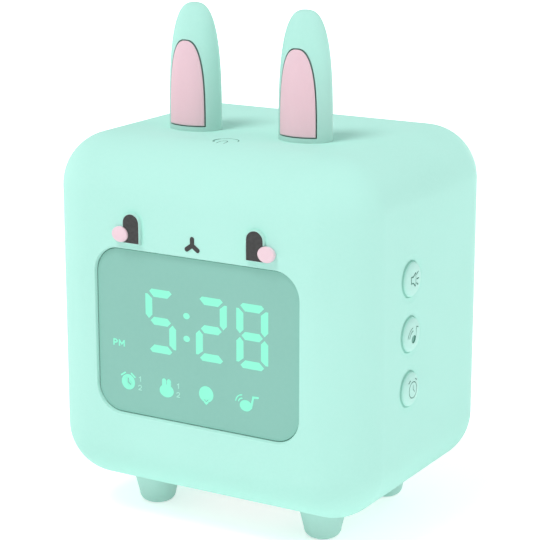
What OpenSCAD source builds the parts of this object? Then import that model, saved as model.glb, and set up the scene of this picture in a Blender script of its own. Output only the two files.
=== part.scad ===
// Children's alarm clock with a night light. A rounded block in a soft silicone sleeve stands on
// four feet. It has two upright ears, a small animal face, a recessed seven-segment display, three
// keys on each side, and a hard panel at the back for the speaker, the charging socket and the switch.
// X runs to the right as one looks at the face, Y runs from the face to the back, and Z is up.
// The origin is on the table, under the middle of the clock.

/* [Body] */
// Width of the body, from side to side
body_w = 100; // [96:1:110]
// Depth of the body, from face to back
body_d = 82.3; // [80:0.1:92]
// Height of the body, without ears and feet
body_h = 100; // [98:1:110]
// Radius of all outer edges and corners
corner_r = 15.2; // [13:0.1:16.5]

/* [Silicone sleeve] */
// Thickness of the silicone sleeve
sleeve_t = 2.4; // [2:0.1:2.8]
// Clearance between the sleeve and the housing inside it
sleeve_gap = 0.2; // [0.1:0.05:0.3]
// Clearance round a fixed part that sits in an opening
seat_gap = 0.1; // [0.05:0.05:0.2]

/* [Housing] */
// Wall of the inner housing
wall = 2; // [1.8:0.1:2.4]
// Distance from the middle of the body forward to the joint of the two halves
split_forward = 4; // [3:0.5:4.5]
// Length of the lip that locates the halves in each other
lip_l = 2; // [1.5:0.1:3]
// Diameter of the pillars that take the housing screws
pillar_d = 9; // [8.4:0.1:9.6]
// Distance of each pillar from the sides, top and bottom of the body
pillar_inset = 11; // [10.5:0.1:12]

/* [Feet] */
// Height of the feet, from the table to the body
foot_h = 10.1; // [8:0.1:14]
// Diameter of a foot where it meets the body
foot_top_d = 14.4; // [12:0.1:15]
// Diameter of a foot near the table, before the rounding
foot_sole_d = 10.6; // [9:0.1:11.5]
// Radius of the rounding at the sole
foot_round = 2.5; // [1.5:0.1:3]
// Distance from the side of the body in to the middle of a foot
foot_inset_x = 22.4; // [21.6:0.1:23.4]
// Distance from the face or the back in to the middle of a foot
foot_inset_y = 22.3; // [21.3:0.1:23.4]
// Diameter of the stem that holds a foot in the body
foot_stem_d = 6; // [5:0.1:7]

/* [Base plate] */
// Distance between the base plate and the feet beside it
base_gap = 1.4; // [0.8:0.1:2]
// Depth of the base plate
base_d = 47; // [46:0.5:50]
// Corner radius of the base plate
base_r = 6; // [4:0.5:7]

/* [Ears] */
// Width of an ear at its foot
ear_w = 15.6; // [14:0.1:17]
// Thickness of an ear at its foot, from front to back
ear_t = 11.9; // [11:0.1:13]
// Height of an ear above the body
ear_h = 35.1; // [32:0.1:42]
// Distance between the middles of the ears
ear_pitch = 35.2; // [33:0.1:38]
// Distance from the face back to the middle of the ears
ear_y = 29.2; // [28:0.1:32]
// Diameter of the stem that holds an ear in the body
ear_stem_d = 8; // [7:0.1:9]
// How straight the sides of an ear stay before they round over
ear_straight = 3.08; // [2.4:0.02:3.6]
// How blunt the tip of an ear is
ear_blunt = 2.81; // [2.2:0.01:3.2]

/* [Inner ears] */
// Width of the pink pad on each ear
inner_ear_w = 11; // [9:0.1:11.6]
// Height of the pad's lower edge above the body
inner_ear_z = 1.6; // [1:0.1:4]
// Height of the pad's tip above the body
inner_ear_top = 25.4; // [20:0.1:28]
// How far the pad stands out of the ear
inner_ear_proud = 0.35; // [0.2:0.05:0.6]
// Depth of the pocket that the pad sits in
inner_ear_pocket = 1.2; // [0.8:0.1:1.6]
// Open groove between the pad and the edge of its pocket
inner_ear_gap = 0.35; // [0.2:0.05:0.5]

/* [Face] */
// Width of an eye
eye_w = 5.05; // [4.4:0.05:6]
// Height of an eye
eye_h = 8; // [7:0.1:9]
// Distance between the middles of the eyes
eye_pitch = 39; // [36:0.1:42]
// Height of the lower edge of the eyes above the body's underside
eye_z = 72.75; // [72:0.05:76]
// How far the silicone pad of an eye stands out of the face
eye_proud = 1; // [0.8:0.05:1.4]
// Silicone rim left round the dark inlay of an eye
eye_rim = 0.3; // [0.2:0.05:0.5]
// Depth of the dark inlays of the eyes and the nose
inlay_t = 0.5; // [0.4:0.05:0.6]
// Width of a cheek
cheek_w = 5.2; // [4.4:0.1:6]
// Height of a cheek
cheek_h = 4.4; // [3.8:0.1:4.6]
// Distance between the middles of the cheeks
cheek_pitch = 46.1; // [43:0.1:49]
// Height of the middle of the cheeks above the body's underside
cheek_z = 74.9; // [74.4:0.1:77]
// How far a cheek stands out of the face
cheek_proud = 1.6; // [1.4:0.1:2]
// Rounding of the cheeks' edge
cheek_round = 0.5; // [0.3:0.05:0.7]
// Distance from the middle of the clock to the nose, on the left
nose_left = 0.4; // [0:0.1:1]
// Height of the middle of the nose above the body's underside
nose_z = 74.3; // [74.1:0.05:78]
// Thickness of the nose's three strokes
nose_line = 1.3; // [0.7:0.05:1.4]
// Length of the nose's upper stroke
nose_up = 1.7; // [1.2:0.1:2.4]
// Reach of the nose's lower strokes to each side
nose_reach = 1.7; // [1.2:0.05:2.4]
// Drop of the nose's lower strokes
nose_drop = 1.2; // [0.8:0.05:1.5]

/* [Display window] */
// Width of the window
window_w = 64.4; // [62:0.1:68]
// Height of the window
window_h = 47; // [44:0.1:48]
// Corner radius of the window
window_r = 7.4; // [5:0.1:9]
// Height of the window's middle above the body's underside
window_z = 47; // [46:0.1:47.8]
// Depth of the window below the face
window_recess = 0.9; // [0.6:0.05:1.2]
// Width of the housing's ledge behind the window's edge
window_lip = 2.2; // [1.6:0.1:3]
// Depth of the lit shapes in the window
lit_t = 0.8; // [0.5:0.1:1]
// Thickness of the mask film behind the window
mask_t = 0.25; // [0.2:0.05:0.4]
// Thickness of the reflector block behind the mask
reflector_t = 6; // [5.5:0.1:7]

/* [Digits] */
// Height of a digit
digit_h = 18; // [16:0.1:19]
// Width of a digit
digit_w = 9.9; // [9:0.1:10.6]
// Thickness of a digit's bars
bar_t = 2.25; // [1.8:0.05:2.5]
// Gap between neighbouring bars
bar_gap = 0.7; // [0.4:0.05:0.9]
// Height of the digits' middle above the body's underside
digit_z = 51.4; // [51:0.05:54]
// Distance from the middle of the clock to the left digit
left_digit_x = 11.4; // [11:0.1:13]
// Distance from the middle of the clock to the middle digit
middle_digit_x = 4.85; // [4.2:0.05:6]
// Distance from the middle of the clock to the right digit
right_digit_x = 17.65; // [17:0.05:19]
// Distance from the middle of the clock to the colon, on the left
colon_left = 3.05; // [2.6:0.05:3.6]
// Width of the colon's dots
colon_w = 2.1; // [1.8:0.1:2.4]
// Height of the colon's dots
colon_h = 1.75; // [1.6:0.05:2.4]
// How far the colon's middle sits below the digits' middle
colon_drop = 0.4; // [0:0.05:1]
// Distance between the colon's dots
colon_pitch = 6.4; // [5:0.1:8]

/* [Sign lights] */
// Height of the row of lit signs above the body's underside
sign_z = 32.5; // [31:0.1:33.5]
// Distance from the middle of the clock to the leftmost sign
first_sign_left = 22; // [21.5:0.1:23]
// Distance between neighbouring signs
sign_pitch = 12.8; // [12:0.1:13.2]
// Distance from the middle of the clock to the afternoon light, on the left
afternoon_left = 25.2; // [24.8:0.1:25.4]
// Height of the afternoon light above the body's underside
afternoon_z = 43.5; // [42:0.1:45]
// Width of a light chamber behind a sign
chamber_w = 8; // [6:0.1:8.4]
// Height of a light chamber behind a sign
chamber_h = 5; // [4:0.1:6]

/* [Keys] */
// Diameter of a key
key_d = 9.8; // [8.6:0.1:10.4]
// How far a key stands out of the side
key_proud = 1.3; // [1:0.1:1.8]
// Rounding of a key's edge
key_round = 0.7; // [0.5:0.05:1]
// Distance between neighbouring keys
key_pitch = 15.4; // [14.6:0.1:16]
// How far the middle key sits below the middle of the body's height
key_drop = 0.3; // [0:0.1:0.8]
// Distance from the face back to the keys
key_y = 29.6; // [28.5:0.1:30.4]
// Travel of a key
key_travel = 0.6; // [0.4:0.05:0.8]
// Open gap round a key
key_gap = 0.3; // [0.25:0.05:0.35]

/* [Touch key] */
// Distance from the face back to the middle of the touch electrode under the top
electrode_y = 21.2; // [21:0.1:24]
// Diameter of the touch electrode
electrode_d = 12; // [10:0.5:13]

/* [Rear panel] */
// Width of the rear panel
panel_w = 60; // [58:0.5:62]
// Height of the rear panel
panel_h = 56; // [54:0.5:57]
// Corner radius of the rear panel
panel_r = 8; // [6:0.5:10]
// Height of the panel's middle above the body's underside
panel_z = 45; // [44.6:0.1:46]
// Depth of the panel below the back
panel_recess = 0.4; // [0.2:0.1:0.8]
// Height of the speaker above the body's underside
speaker_z = 55; // [54:0.1:57]
// Diameter of the speaker
speaker_d = 40; // [38:0.5:41]
// Diameter of a grille hole
grille_hole_d = 1.8; // [1.2:0.1:2]
// Distance between rings of grille holes
grille_pitch = 3.2; // [2.8:0.1:3.4]
// Number of rings of grille holes round the middle one
grille_rings = 4; // [2:1:4]
// Width of the charging socket's shell
usb_w = 8.94; // [8.94:0.01:9]
// Height of the charging socket's shell
usb_h = 3.16; // [3.16:0.01:3.26]
// Length of the charging socket's shell
usb_l = 9.2; // [8:0.1:10]
// Clearance round the socket in the panel
usb_gap = 0.25; // [0.1:0.05:0.4]
// Travel of the power switch
switch_travel = 2; // [1.5:0.1:2.5]
// Distance from the middle of the clock to the power switch
switch_x = 19; // [17:0.1:20]
// Distance from the middle of the clock to the reset hole, on the other side
reset_x = 17; // [15:0.1:19]

/* [Boards and battery] */
// Thickness of the circuit boards
board_t = 1.6; // [1.2:0.1:1.6]
// Height of the main board's underside above the body's underside
main_board_z = 27.2; // [26.6:0.1:28]
// Distance from the top of the body down to the underside of the light board
light_board_drop = 18; // [17:0.1:19.5]
// Width of the battery
battery_w = 28; // [24:0.5:28]
// Depth of the battery
battery_d = 29; // [24:0.5:29]
// Height of the battery
battery_h = 11; // [8:0.5:14]

/* [Hidden] */
$fn = 64;
eps = 0.01;
// How far a cut runs past the face it opens
over = 1;
sides = [-1, 1];

// Colours
mint = [0.75, 0.97, 0.92];
deep_mint = [0.57, 0.80, 0.74];
lit_mint = [0.61, 1, 0.87];
milky = [0.95, 0.96, 0.94];
pink = [0.93, 0.81, 0.85];
cheek_pink = [0.97, 0.86, 0.90];
charcoal = [0.33, 0.33, 0.33];
black = [0.12, 0.12, 0.13];
board_green = [0.10, 0.42, 0.28];
steel = [0.75, 0.76, 0.78];
copper = [0.80, 0.50, 0.32];
warm_white = [1, 0.93, 0.75];
paper_grey = [0.25, 0.25, 0.27];
cell_blue = [0.28, 0.40, 0.62];
film_amber = [0.85, 0.62, 0.30];

// Places of the body. It stands back by half of what the cheeks stand out, so that the origin is
// under the middle of the whole.
mid_y = cheek_proud / 2;
front_y = mid_y - body_d / 2;
back_y = mid_y + body_d / 2;
body_z = foot_h;
mid_z = body_z + body_h / 2;
top_z = body_z + body_h;

// Depths below the outer faces
housing_in = sleeve_t + sleeve_gap;
cavity_in = housing_in + wall;
lip_in = housing_in + wall / 2;
split_y = mid_y - split_forward;

// Display, as depths below the face
window_t = housing_in - window_recess;
mask_in = housing_in;
reflector_in = mask_in + mask_t;
display_board_in = reflector_in + reflector_t;
aperture_w = window_w - 2 * window_lip;
aperture_h = window_h - 2 * window_lip;
display_edge_w = 6;
display_edge_h = 2;
display_board_w = aperture_w + 2 * display_edge_w;
display_board_h = window_h + 2 * display_edge_h;
display_board_r = 2;
display_boss_inset_x = 3;
display_boss_inset_z = 3.5;
display_boss_x = display_board_w / 2 - display_boss_inset_x;
display_boss_z = display_board_h / 2 - display_boss_inset_z;
mask_rim = 0.5;
display_led_w = 1;
display_led_t = 0.8;
display_led = [display_led_w, display_led_w, display_led_t];
digit_xs = [-left_digit_x, middle_digit_x, right_digit_x];
colon_x = -colon_left;
// Middles of the colon's dots, from the window's middle
colon_spots = [
    for (s = sides) [colon_x, digit_z - colon_drop - window_z + s * colon_pitch / 2]
];
// Middles of the light chambers behind the signs, from the window's middle
sign_spots = [
    for (i = [0:3]) [i * sign_pitch - first_sign_left, sign_z - window_z],
    [-afternoon_left, afternoon_z - window_z]
];
// Bars of a digit: 0 top, 1 and 2 upper left and right, 3 middle, 4 and 5 lower left and right,
// 6 bottom
five_bars = [0, 1, 3, 5, 6];
two_bars = [0, 2, 3, 4, 6];
eight_bars = [0, 1, 2, 3, 4, 5, 6];
digit_bars = [five_bars, two_bars, eight_bars];

// Keys, as distances out of the side face
key_z = body_h / 2 - key_drop;
key_flange_t = 1;
key_flange_lip = 1.5;
key_flange_d = key_d + 2 * key_flange_lip;
key_rest_gap = 0.2;
key_flange_z = -cavity_in - key_rest_gap;
key_stem_d = 3;
key_stem_l = 3.2;
key_back_z = key_flange_z - key_flange_t;
key_tip_z = key_back_z - key_stem_l;
dome_reach = 0.3;
dome_floor_gap = 0.3;
dome_well_d = key_stem_d + 2 * key_gap;
dome_well = dome_reach + key_travel + dome_floor_gap;
dome_w = 6;
dome_h = 3.5;
dome_top_z = key_tip_z + dome_reach;
key_board_z = dome_top_z - dome_h;
key_board_w = 14;
key_board_r = 1.5;
key_boss_away = 3.7;
key_board_edge = 3;
key_boss_z = key_pitch + key_flange_d / 2 + key_boss_away;
key_board_h = 2 * (key_boss_z + key_board_edge);
key_offsets = [-key_pitch, 0, key_pitch];

// Screws
screw_d = 3;
screw_head_d = 5.6;
screw_head_t = 2.2;
screw_l = 14;
screw_seat = 6;
screw_well_gap = 0.4;
small_screw_d = 2;
small_head_d = 3.8;
small_head_t = 1.4;
small_screw_l = 6;
small_boss_d = 5;
small_well_gap = 0.3;
bore_gap = 0.1;
drive_w = 0.7;

// Base plate and feet
foot_pitch_x = body_w - 2 * foot_inset_x;
foot_pitch_y = body_d - 2 * foot_inset_y;
base_w = foot_pitch_x - foot_top_d - 2 * base_gap;
base_screw_inset_x = 5;
base_screw_inset_y = 3.5;
base_screw_x = base_w / 2 - base_screw_inset_x;
base_screw_y = base_d / 2 - base_screw_inset_y;
base_boss_d = 6;
base_boss_h = 5;
barb_d = foot_stem_d + 1.8;
barb_h = 2;
barb_tip_d = foot_stem_d - 1.2;

// Ears
pad_straight = 3.3;
pad_blunt = 2.5;
ear_levels = 16;
ear_sides = 40;
ear_barb_d = ear_stem_d + 2.4;
ear_barb_tip_d = ear_stem_d - 1;
ear_barb_h = 2.4;
ear_fn = 40;

// Cheeks
cheek_pin_d = 2;
nose_proud = 0.1;

// Rear panel, as depths below the back
panel_t = housing_in - panel_recess;
panel_screw_inset = 4.5;
panel_screw_x = panel_w / 2 - panel_screw_inset;
panel_screw_z = panel_h / 2 - panel_screw_inset;
panel_boss_h = 4;
speaker_seat = 3;
speaker_seat_w = 1.5;
speaker_flange_t = 1.4;
speaker_flange_w = 5.5;
speaker_screw_inset = 2.4;
speaker_screw_l = 4;
speaker_screw_r = speaker_d / 2 - speaker_screw_inset;
speaker_rim_d = speaker_d - 2 * speaker_flange_w;
basket_t = 0.9;
basket_h = 8;
basket_d = 20;
basket_foot = 1.4;
basket_window_w = 6;
basket_window_d = 4;
basket_window_h = 4;
cone_gap = 0.3;
cone_neck_d = 10;
cone_depth = 5;
cone_t = 0.5;
surround_w = 2.5;
surround_out = 1.2;
cap_out = 2;
magnet_d = 23;
magnet_t = 6;
usb_face = 1;
usb_wall = 0.3;
usb_depth = 6.5;
usb_tongue_t = 0.7;
usb_tongue_side = 1.1;
usb_tongue_back = 0.5;
port_room = 0.5;
switch_w = 8.6;
switch_d = 4.3;
switch_h = 4.2;
switch_back_gap = 0.2;
knob_w = 2.5;
knob_h = 2;
knob_gap = 0.3;
knob_reach = 2.6;
knob_recess = 0.1;
slot_reach = 3;
reset_hole_d = 1.2;
reset_switch_w = 4.4;
reset_switch_d = 3.4;

// Boards inside
usb_z = main_board_z + board_t + usb_h / 2;
knob_z = main_board_z + board_t + switch_h / 2;
switch_face_y = back_y - cavity_in - switch_back_gap;
board_front_gap = 2.5;
board_back_gap = 0.4;
board_r = 2;
main_board_w = 66;
main_board_front = split_y + board_front_gap;
main_board_back = back_y - cavity_in - board_back_gap;
main_post_d = 6;
main_post_inset = 6;
main_post_front = 8.5;
main_post_back = 9.1;
main_post_x = main_board_w / 2 - main_post_inset;
main_post_ys = [main_board_front + main_post_front, main_board_back - main_post_back];
light_board_z = body_h - light_board_drop;
light_board_w = 62;
light_board_d = 40;
light_board_r = 3;
light_post_inset = 4;
light_post_x = light_board_w / 2 - light_post_inset;
light_post_front = 14.5;
light_post_back = 16;
light_post_ys = [mid_y - light_post_front, mid_y + light_post_back];
light_board_y = (light_post_ys[0] + light_post_ys[1]) / 2;
diffuser_w = 46;
diffuser_d = 36;
diffuser_h = 6;
diffuser_t = 1.2;
diffuser_r = 4;
led_w = 5;
led_t = 1.6;
led_pitch_x = 14;
led_pitch_y = 16;
electrode_t = 0.3;
tray_t = 1.2;
tray_r = 2;
tray_share = 0.6;
battery_r = 1.5;
battery_gap = 0.3;
ribbon_w = 16;
ribbon_t = 0.2;
ribbon_sag = 4;
connector_w = ribbon_w + 3;
connector_d = 4;
connector_h = 2;
processor_w = 10;
processor_t = 1.4;
processor_x = 8;
processor_y = 12;
amplifier_w = 6;
amplifier_d = 5;
amplifier_t = 1.4;
amplifier_x = 12;
amplifier_y = 10;
memory_w = 4;
memory_d = 8;
memory_t = 2;
memory_x = 16;
memory_y = 24;
capacitor_d = 6.3;
capacitor_h = 5.4;
capacitor_x = 14;
capacitor_y = 22;

// ---------------------------------------------------------------- frames on the outer faces

// Local X right, Y up and Z out of the face
module on_face(x = 0, z = 0) {
    translate([x, front_y, body_z + z]) rotate([90, 0, 0]) children();
}

// Local X to the left of the clock, Y up and Z out of the back
module on_back(x = 0, z = 0) {
    translate([x, back_y, body_z + z]) rotate([90, 0, 180]) children();
}

// Local Y up and Z out of the left (-1) or right (1) side, at the keys
module on_side(side, z = 0) {
    translate([side * body_w / 2, front_y + key_y, body_z + z]) rotate([90, 0, side * 90]) children();
}

// One copy at each corner of a rectangle round the local origin
module at_corners(x, y) {
    for (sx = sides, sy = sides) translate([sx * x, sy * y, 0]) children();
}

// ---------------------------------------------------------------- shared solids

// A block with all edges and corners rounded by one radius
module rounded_block(w, d, h, r) {
    x = w / 2 - r;
    y = d / 2 - r;
    z = h / 2 - r;
    cube([2 * x, 2 * y, h], center = true);
    cube([2 * x, d, 2 * z], center = true);
    cube([w, 2 * y, 2 * z], center = true);
    for (sy = sides, sz = sides)
        translate([0, sy * y, sz * z]) rotate([0, 90, 0]) cylinder(r = r, h = 2 * x, center = true);
    for (sx = sides, sz = sides)
        translate([sx * x, 0, sz * z]) rotate([90, 0, 0]) cylinder(r = r, h = 2 * y, center = true);
    for (sx = sides, sy = sides)
        translate([sx * x, sy * y, 0]) cylinder(r = r, h = 2 * z, center = true);
    for (sx = sides, sy = sides, sz = sides)
        translate([sx * x, sy * y, sz * z]) sphere(r = r);
}

// The body's outer form, or the same form drawn in by a depth
module body_form(depth = 0) {
    translate([0, mid_y, mid_z])
        rounded_block(body_w - 2 * depth, body_d - 2 * depth, body_h - 2 * depth, corner_r - depth);
}

// The part of space from y = low to y = high
module slab(low, high) {
    translate([-body_w, low, 0]) cube([2 * body_w, high - low, 2 * body_h]);
}

// A flat plate with rounded corners, from z = 0 up
module plate(w, h, r, t) {
    linear_extrude(t) rounded_outline(w, h, r);
}

module rounded_outline(w, h, r) {
    square([w - 2 * r, h], center = true);
    square([w, h - 2 * r], center = true);
    for (sx = sides, sy = sides) translate([sx * (w / 2 - r), sy * (h / 2 - r)]) circle(r = r);
}

// A small box that stands on z = 0
module chip(size) {
    translate([-size[0] / 2, -size[1] / 2, 0]) cube(size);
}

// A pan head screw with a cross drive. The head's underside is at z = 0 and the thread points down.
module screw(d, l, head_d, head_t) {
    drive_l = head_d * 0.6;
    difference() {
        union() {
            cylinder(d = head_d, h = head_t);
            translate([0, 0, -l]) cylinder(d = d, h = l + eps);
        }
        for (turn = [0, 90])
            rotate(turn) translate([0, 0, head_t / 2]) chip([drive_l, drive_w, head_t]);
    }
}

module housing_screw() {
    screw(screw_d, screw_l, screw_head_d, screw_head_t);
}

// A bore for a small screw, through everything from z = 0 up to a height
module small_hole(h) {
    translate([0, 0, -over]) cylinder(d = small_screw_d + 2 * bore_gap, h = h + 2 * over);
}

module small_screw() {
    screw(small_screw_d, small_screw_l, small_head_d, small_head_t);
}

// ---------------------------------------------------------------- flat shapes

// A straight line of width w between two points, with round ends
module round_line(a, b, w) {
    run = b - a;
    translate(a) rotate(atan2(run[1], run[0])) translate([0, -w / 2]) square([norm(run), w]);
    translate(a) circle(d = w);
    translate(b) circle(d = w);
}

module ellipse(w, h, steps = 40) {
    polygon([
        for (i = [0:steps - 1]) let (turn = 360 * i / steps) [w / 2 * cos(turn), h / 2 * sin(turn)]
    ]);
}

// One bar of a seven-segment digit round the digit's middle
module digit_bar(n) {
    x = digit_w / 2;
    y = digit_h / 2;
    cut = bar_t * 0.35;
    g = bar_gap / sqrt(2);
    if (n == 0 || n == 6) mirror([0, n == 6 ? 1 : 0]) polygon([
        [-x + 2 * cut + g, y], [x - 2 * cut - g, y], [x - cut - g, y - cut], [x - bar_t - g, y - bar_t],
        [-x + bar_t + g, y - bar_t], [-x + cut + g, y - cut]
    ]);
    if (n == 3) polygon([
        [-x + bar_t / 2 + g, 0], [-x + bar_t + g, bar_t / 2], [x - bar_t - g, bar_t / 2],
        [x - bar_t / 2 - g, 0], [x - bar_t - g, -bar_t / 2], [-x + bar_t + g, -bar_t / 2]
    ]);
    if (n == 1 || n == 2 || n == 4 || n == 5)
        mirror([n == 2 || n == 5 ? 1 : 0, 0]) mirror([0, n > 3 ? 1 : 0]) polygon([
            [-x, y - 2 * cut], [-x + cut, y - 2 * cut], [-x + bar_t, y - bar_t - g],
            [-x + bar_t, bar_t / 2 + g], [-x + bar_t / 2, g], [-x, bar_t / 2 + g]
        ]);
}

module digits() {
    for (i = [0:2], n = digit_bars[i]) translate([digit_xs[i], digit_z - window_z]) digit_bar(n);
}

module colon() {
    for (spot = colon_spots) translate(spot) ellipse(colon_w, colon_h);
}

// ---------------------------------------------------------------- sleeve

module eye_outline(grow = 0) {
    r = eye_w / 2 + grow;
    translate([-r, -grow]) square([2 * r, eye_h - eye_w / 2 + grow]);
    translate([0, eye_h - eye_w / 2]) circle(r = r);
}

// The eye's outline without the corner that the cheek covers
module eye_shape(side, grow = 0) {
    difference() {
        eye_outline(grow);
        translate([side * (cheek_pitch - eye_pitch) / 2, cheek_z - eye_z])
            ellipse(cheek_w + 2 * seat_gap, cheek_h + 2 * seat_gap);
    }
}

module nose_shape() {
    round_line([0, 0], [0, nose_up], nose_line);
    for (s = sides) round_line([0, 0], [s * nose_reach, -nose_drop], nose_line);
}

module silicone_sleeve() {
    color(mint) difference() {
        union() {
            body_form();
            for (s = sides) on_face(s * eye_pitch / 2, eye_z)
                translate([0, 0, -sleeve_t / 2])
                    linear_extrude(sleeve_t / 2 + eye_proud) eye_shape(s, eye_rim);
        }
        body_form(sleeve_t);
        on_face(0, window_z) translate([0, 0, -2 * sleeve_t])
            plate(window_w + 2 * seat_gap, window_h + 2 * seat_gap, window_r + seat_gap, 3 * sleeve_t);
        for (s = sides) {
            on_face(s * eye_pitch / 2, eye_z)
                translate([0, 0, eye_proud - inlay_t]) linear_extrude(inlay_t + over) eye_shape(s);
            on_face(s * cheek_pitch / 2, cheek_z)
                translate([0, 0, -2 * sleeve_t])
                    cylinder(d = cheek_pin_d + 2 * seat_gap, h = 3 * sleeve_t);
            for (z = key_offsets) on_side(s, key_z + z)
                translate([0, 0, -2 * sleeve_t]) cylinder(d = key_d + 2 * key_gap, h = 3 * sleeve_t);
            ear_place(s) translate([0, 0, -2 * sleeve_t])
                cylinder(d = ear_stem_d + 2 * seat_gap, h = 3 * sleeve_t);
        }
        on_face(-nose_left, nose_z) translate([0, 0, -inlay_t]) linear_extrude(inlay_t + over) nose_shape();
        on_back(0, panel_z) translate([0, 0, -2 * sleeve_t])
            plate(panel_w + 2 * seat_gap, panel_h + 2 * seat_gap, panel_r + seat_gap, 3 * sleeve_t);
        translate([0, mid_y, body_z - sleeve_t])
            plate(base_w + 2 * seat_gap, base_d + 2 * seat_gap, base_r + seat_gap, 3 * sleeve_t);
        foot_holes(sides);
    }
}

// ---------------------------------------------------------------- housing

// Axes of the four pillars that take the housing screws, running back from a given y
module at_pillars(y) {
    x = body_w / 2 - pillar_inset;
    z = body_h / 2 - pillar_inset;
    translate([0, y, mid_z]) rotate([-90, 0, 0]) at_corners(x, z) children();
}

module at_display_bosses() {
    on_face(0, window_z) at_corners(display_boss_x, display_boss_z) children();
}

module at_key_bosses(side) {
    for (s = sides) on_side(side, key_z + s * key_boss_z) children();
}

module at_light_posts(ys) {
    for (sx = sides, y = ys) translate([sx * light_post_x, y, body_z + light_board_z]) children();
}

module at_main_posts() {
    for (sx = sides, y = main_post_ys)
        translate([sx * main_post_x, y, body_z + main_board_z]) children();
}

module at_base_screws(ys) {
    for (sx = sides, sy = ys)
        translate([sx * base_screw_x, mid_y + sy * base_screw_y, body_z]) children();
}

module at_feet(ys) {
    for (sx = sides, sy = ys) foot_place(sx, sy) children();
}

module foot_place(sx, sy) {
    translate([sx * foot_pitch_x / 2, mid_y + sy * foot_pitch_y / 2, body_z]) children();
}

// Posts that hang from the top wall to the light board
module light_posts(ys) {
    at_light_posts(ys) translate([0, 0, board_t]) cylinder(d = small_boss_d, h = light_board_drop);
}

module light_post_bores(ys) {
    at_light_posts(ys) small_hole(small_screw_l);
}

// Bosses on the floor for the base plate's screws
module base_bosses(ys) {
    at_base_screws(ys) cylinder(d = base_boss_d, h = cavity_in + base_boss_h);
}

module base_bores(ys) {
    at_base_screws(ys) small_hole(small_head_t + small_screw_l);
}

module foot_holes(ys) {
    at_feet(ys) translate([0, 0, -over])
        cylinder(d = foot_stem_d + 2 * seat_gap, h = cavity_in + 2 * over);
}

module front_housing() {
    color(milky) difference() {
        union() {
            difference() {
                intersection() {
                    body_form(housing_in);
                    slab(front_y, split_y);
                }
                difference() {
                    body_form(cavity_in);
                    at_pillars(front_y) cylinder(d = pillar_d, h = split_y - front_y);
                    at_display_bosses() translate([0, 0, -display_board_in])
                        cylinder(d = small_boss_d, h = display_board_in);
                    for (s = sides) at_key_bosses(s) translate([0, 0, key_board_z])
                        cylinder(d = small_boss_d, h = -key_board_z);
                    light_posts([light_post_ys[0]]);
                    base_bosses([-1]);
                }
            }
            difference() {
                intersection() {
                    body_form(lip_in);
                    slab(split_y - lip_l, split_y + lip_l);
                }
                body_form(cavity_in);
            }
        }
        on_face(0, window_z) translate([0, 0, -2 * cavity_in])
            plate(aperture_w, aperture_h, window_r - window_lip, 3 * cavity_in);
        for (s = sides) {
            for (z = key_offsets) on_side(s, key_z + z) translate([0, 0, -cavity_in - over])
                cylinder(d = key_d + 2 * key_gap, h = cavity_in + 2 * over);
            ear_place(s) translate([0, 0, -cavity_in - over])
                cylinder(d = ear_stem_d + 2 * seat_gap, h = cavity_in + 2 * over);
            at_key_bosses(s) translate([0, 0, key_board_z - board_t]) small_hole(small_screw_l);
            on_face(s * cheek_pitch / 2, cheek_z) translate([0, 0, -cavity_in])
                cylinder(d = cheek_pin_d + 2 * seat_gap, h = cavity_in);
        }
        at_display_bosses() translate([0, 0, -display_board_in - board_t]) small_hole(small_screw_l);
        at_pillars(split_y - (screw_l - screw_seat) - over)
            cylinder(d = screw_d + 2 * bore_gap, h = screw_l - screw_seat + 2 * over);
        light_post_bores([light_post_ys[0]]);
        base_bores([-1]);
        foot_holes([-1]);
    }
}

module rear_housing() {
    color(milky) difference() {
        intersection() {
            body_form(housing_in);
            slab(split_y, back_y);
        }
        difference() {
            body_form(cavity_in);
            at_pillars(split_y) cylinder(d = pillar_d, h = back_y - split_y);
            light_posts([light_post_ys[1]]);
            base_bosses([1]);
            at_main_posts() translate([0, 0, -main_board_z]) cylinder(d = main_post_d, h = main_board_z);
            in_speaker() {
                cylinder(d = speaker_rim_d + 2 * speaker_seat_w, h = speaker_seat + over);
                at_speaker_screws() cylinder(d = small_boss_d, h = speaker_seat + over);
            }
            at_panel_screws(cavity_in + panel_boss_h) cylinder(d = small_boss_d, h = panel_boss_h + over);
        }
        difference() {
            intersection() {
                body_form(lip_in - seat_gap);
                slab(split_y - over, split_y + lip_l + seat_gap);
            }
            body_form(cavity_in);
        }
        in_speaker() {
            translate([0, 0, -over]) cylinder(d = speaker_rim_d, h = cavity_in + speaker_seat + over);
            at_speaker_screws() small_hole(speaker_seat + wall - 2 * over);
        }
        at_panel_screws(cavity_in + panel_boss_h) small_hole(housing_in + panel_boss_h - over);
        rear_ports(cavity_in + over, port_room);
        at_pillars(split_y - over) cylinder(d = screw_d + 2 * bore_gap, h = screw_seat + 2 * over);
        at_pillars(split_y + screw_seat)
            cylinder(d = screw_head_d + 2 * screw_well_gap, h = back_y - split_y);
        at_main_posts() translate([0, 0, board_t - small_screw_l]) small_hole(small_screw_l);
        light_post_bores([light_post_ys[1]]);
        base_bores([1]);
        foot_holes([1]);
    }
}

module housing_screws() {
    color(steel) at_pillars(split_y + screw_seat) housing_screw();
}

// ---------------------------------------------------------------- base and feet

module base_plate() {
    color(milky) difference() {
        translate([0, mid_y, body_z]) plate(base_w, base_d, base_r, housing_in);
        at_base_screws(sides) {
            small_hole(housing_in);
            translate([0, 0, -over])
                cylinder(d = small_head_d + 2 * small_well_gap, h = small_head_t + over);
        }
    }
}

module base_screws() {
    color(steel) at_base_screws(sides) translate([0, 0, small_head_t]) mirror([0, 0, 1]) small_screw();
}

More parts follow.
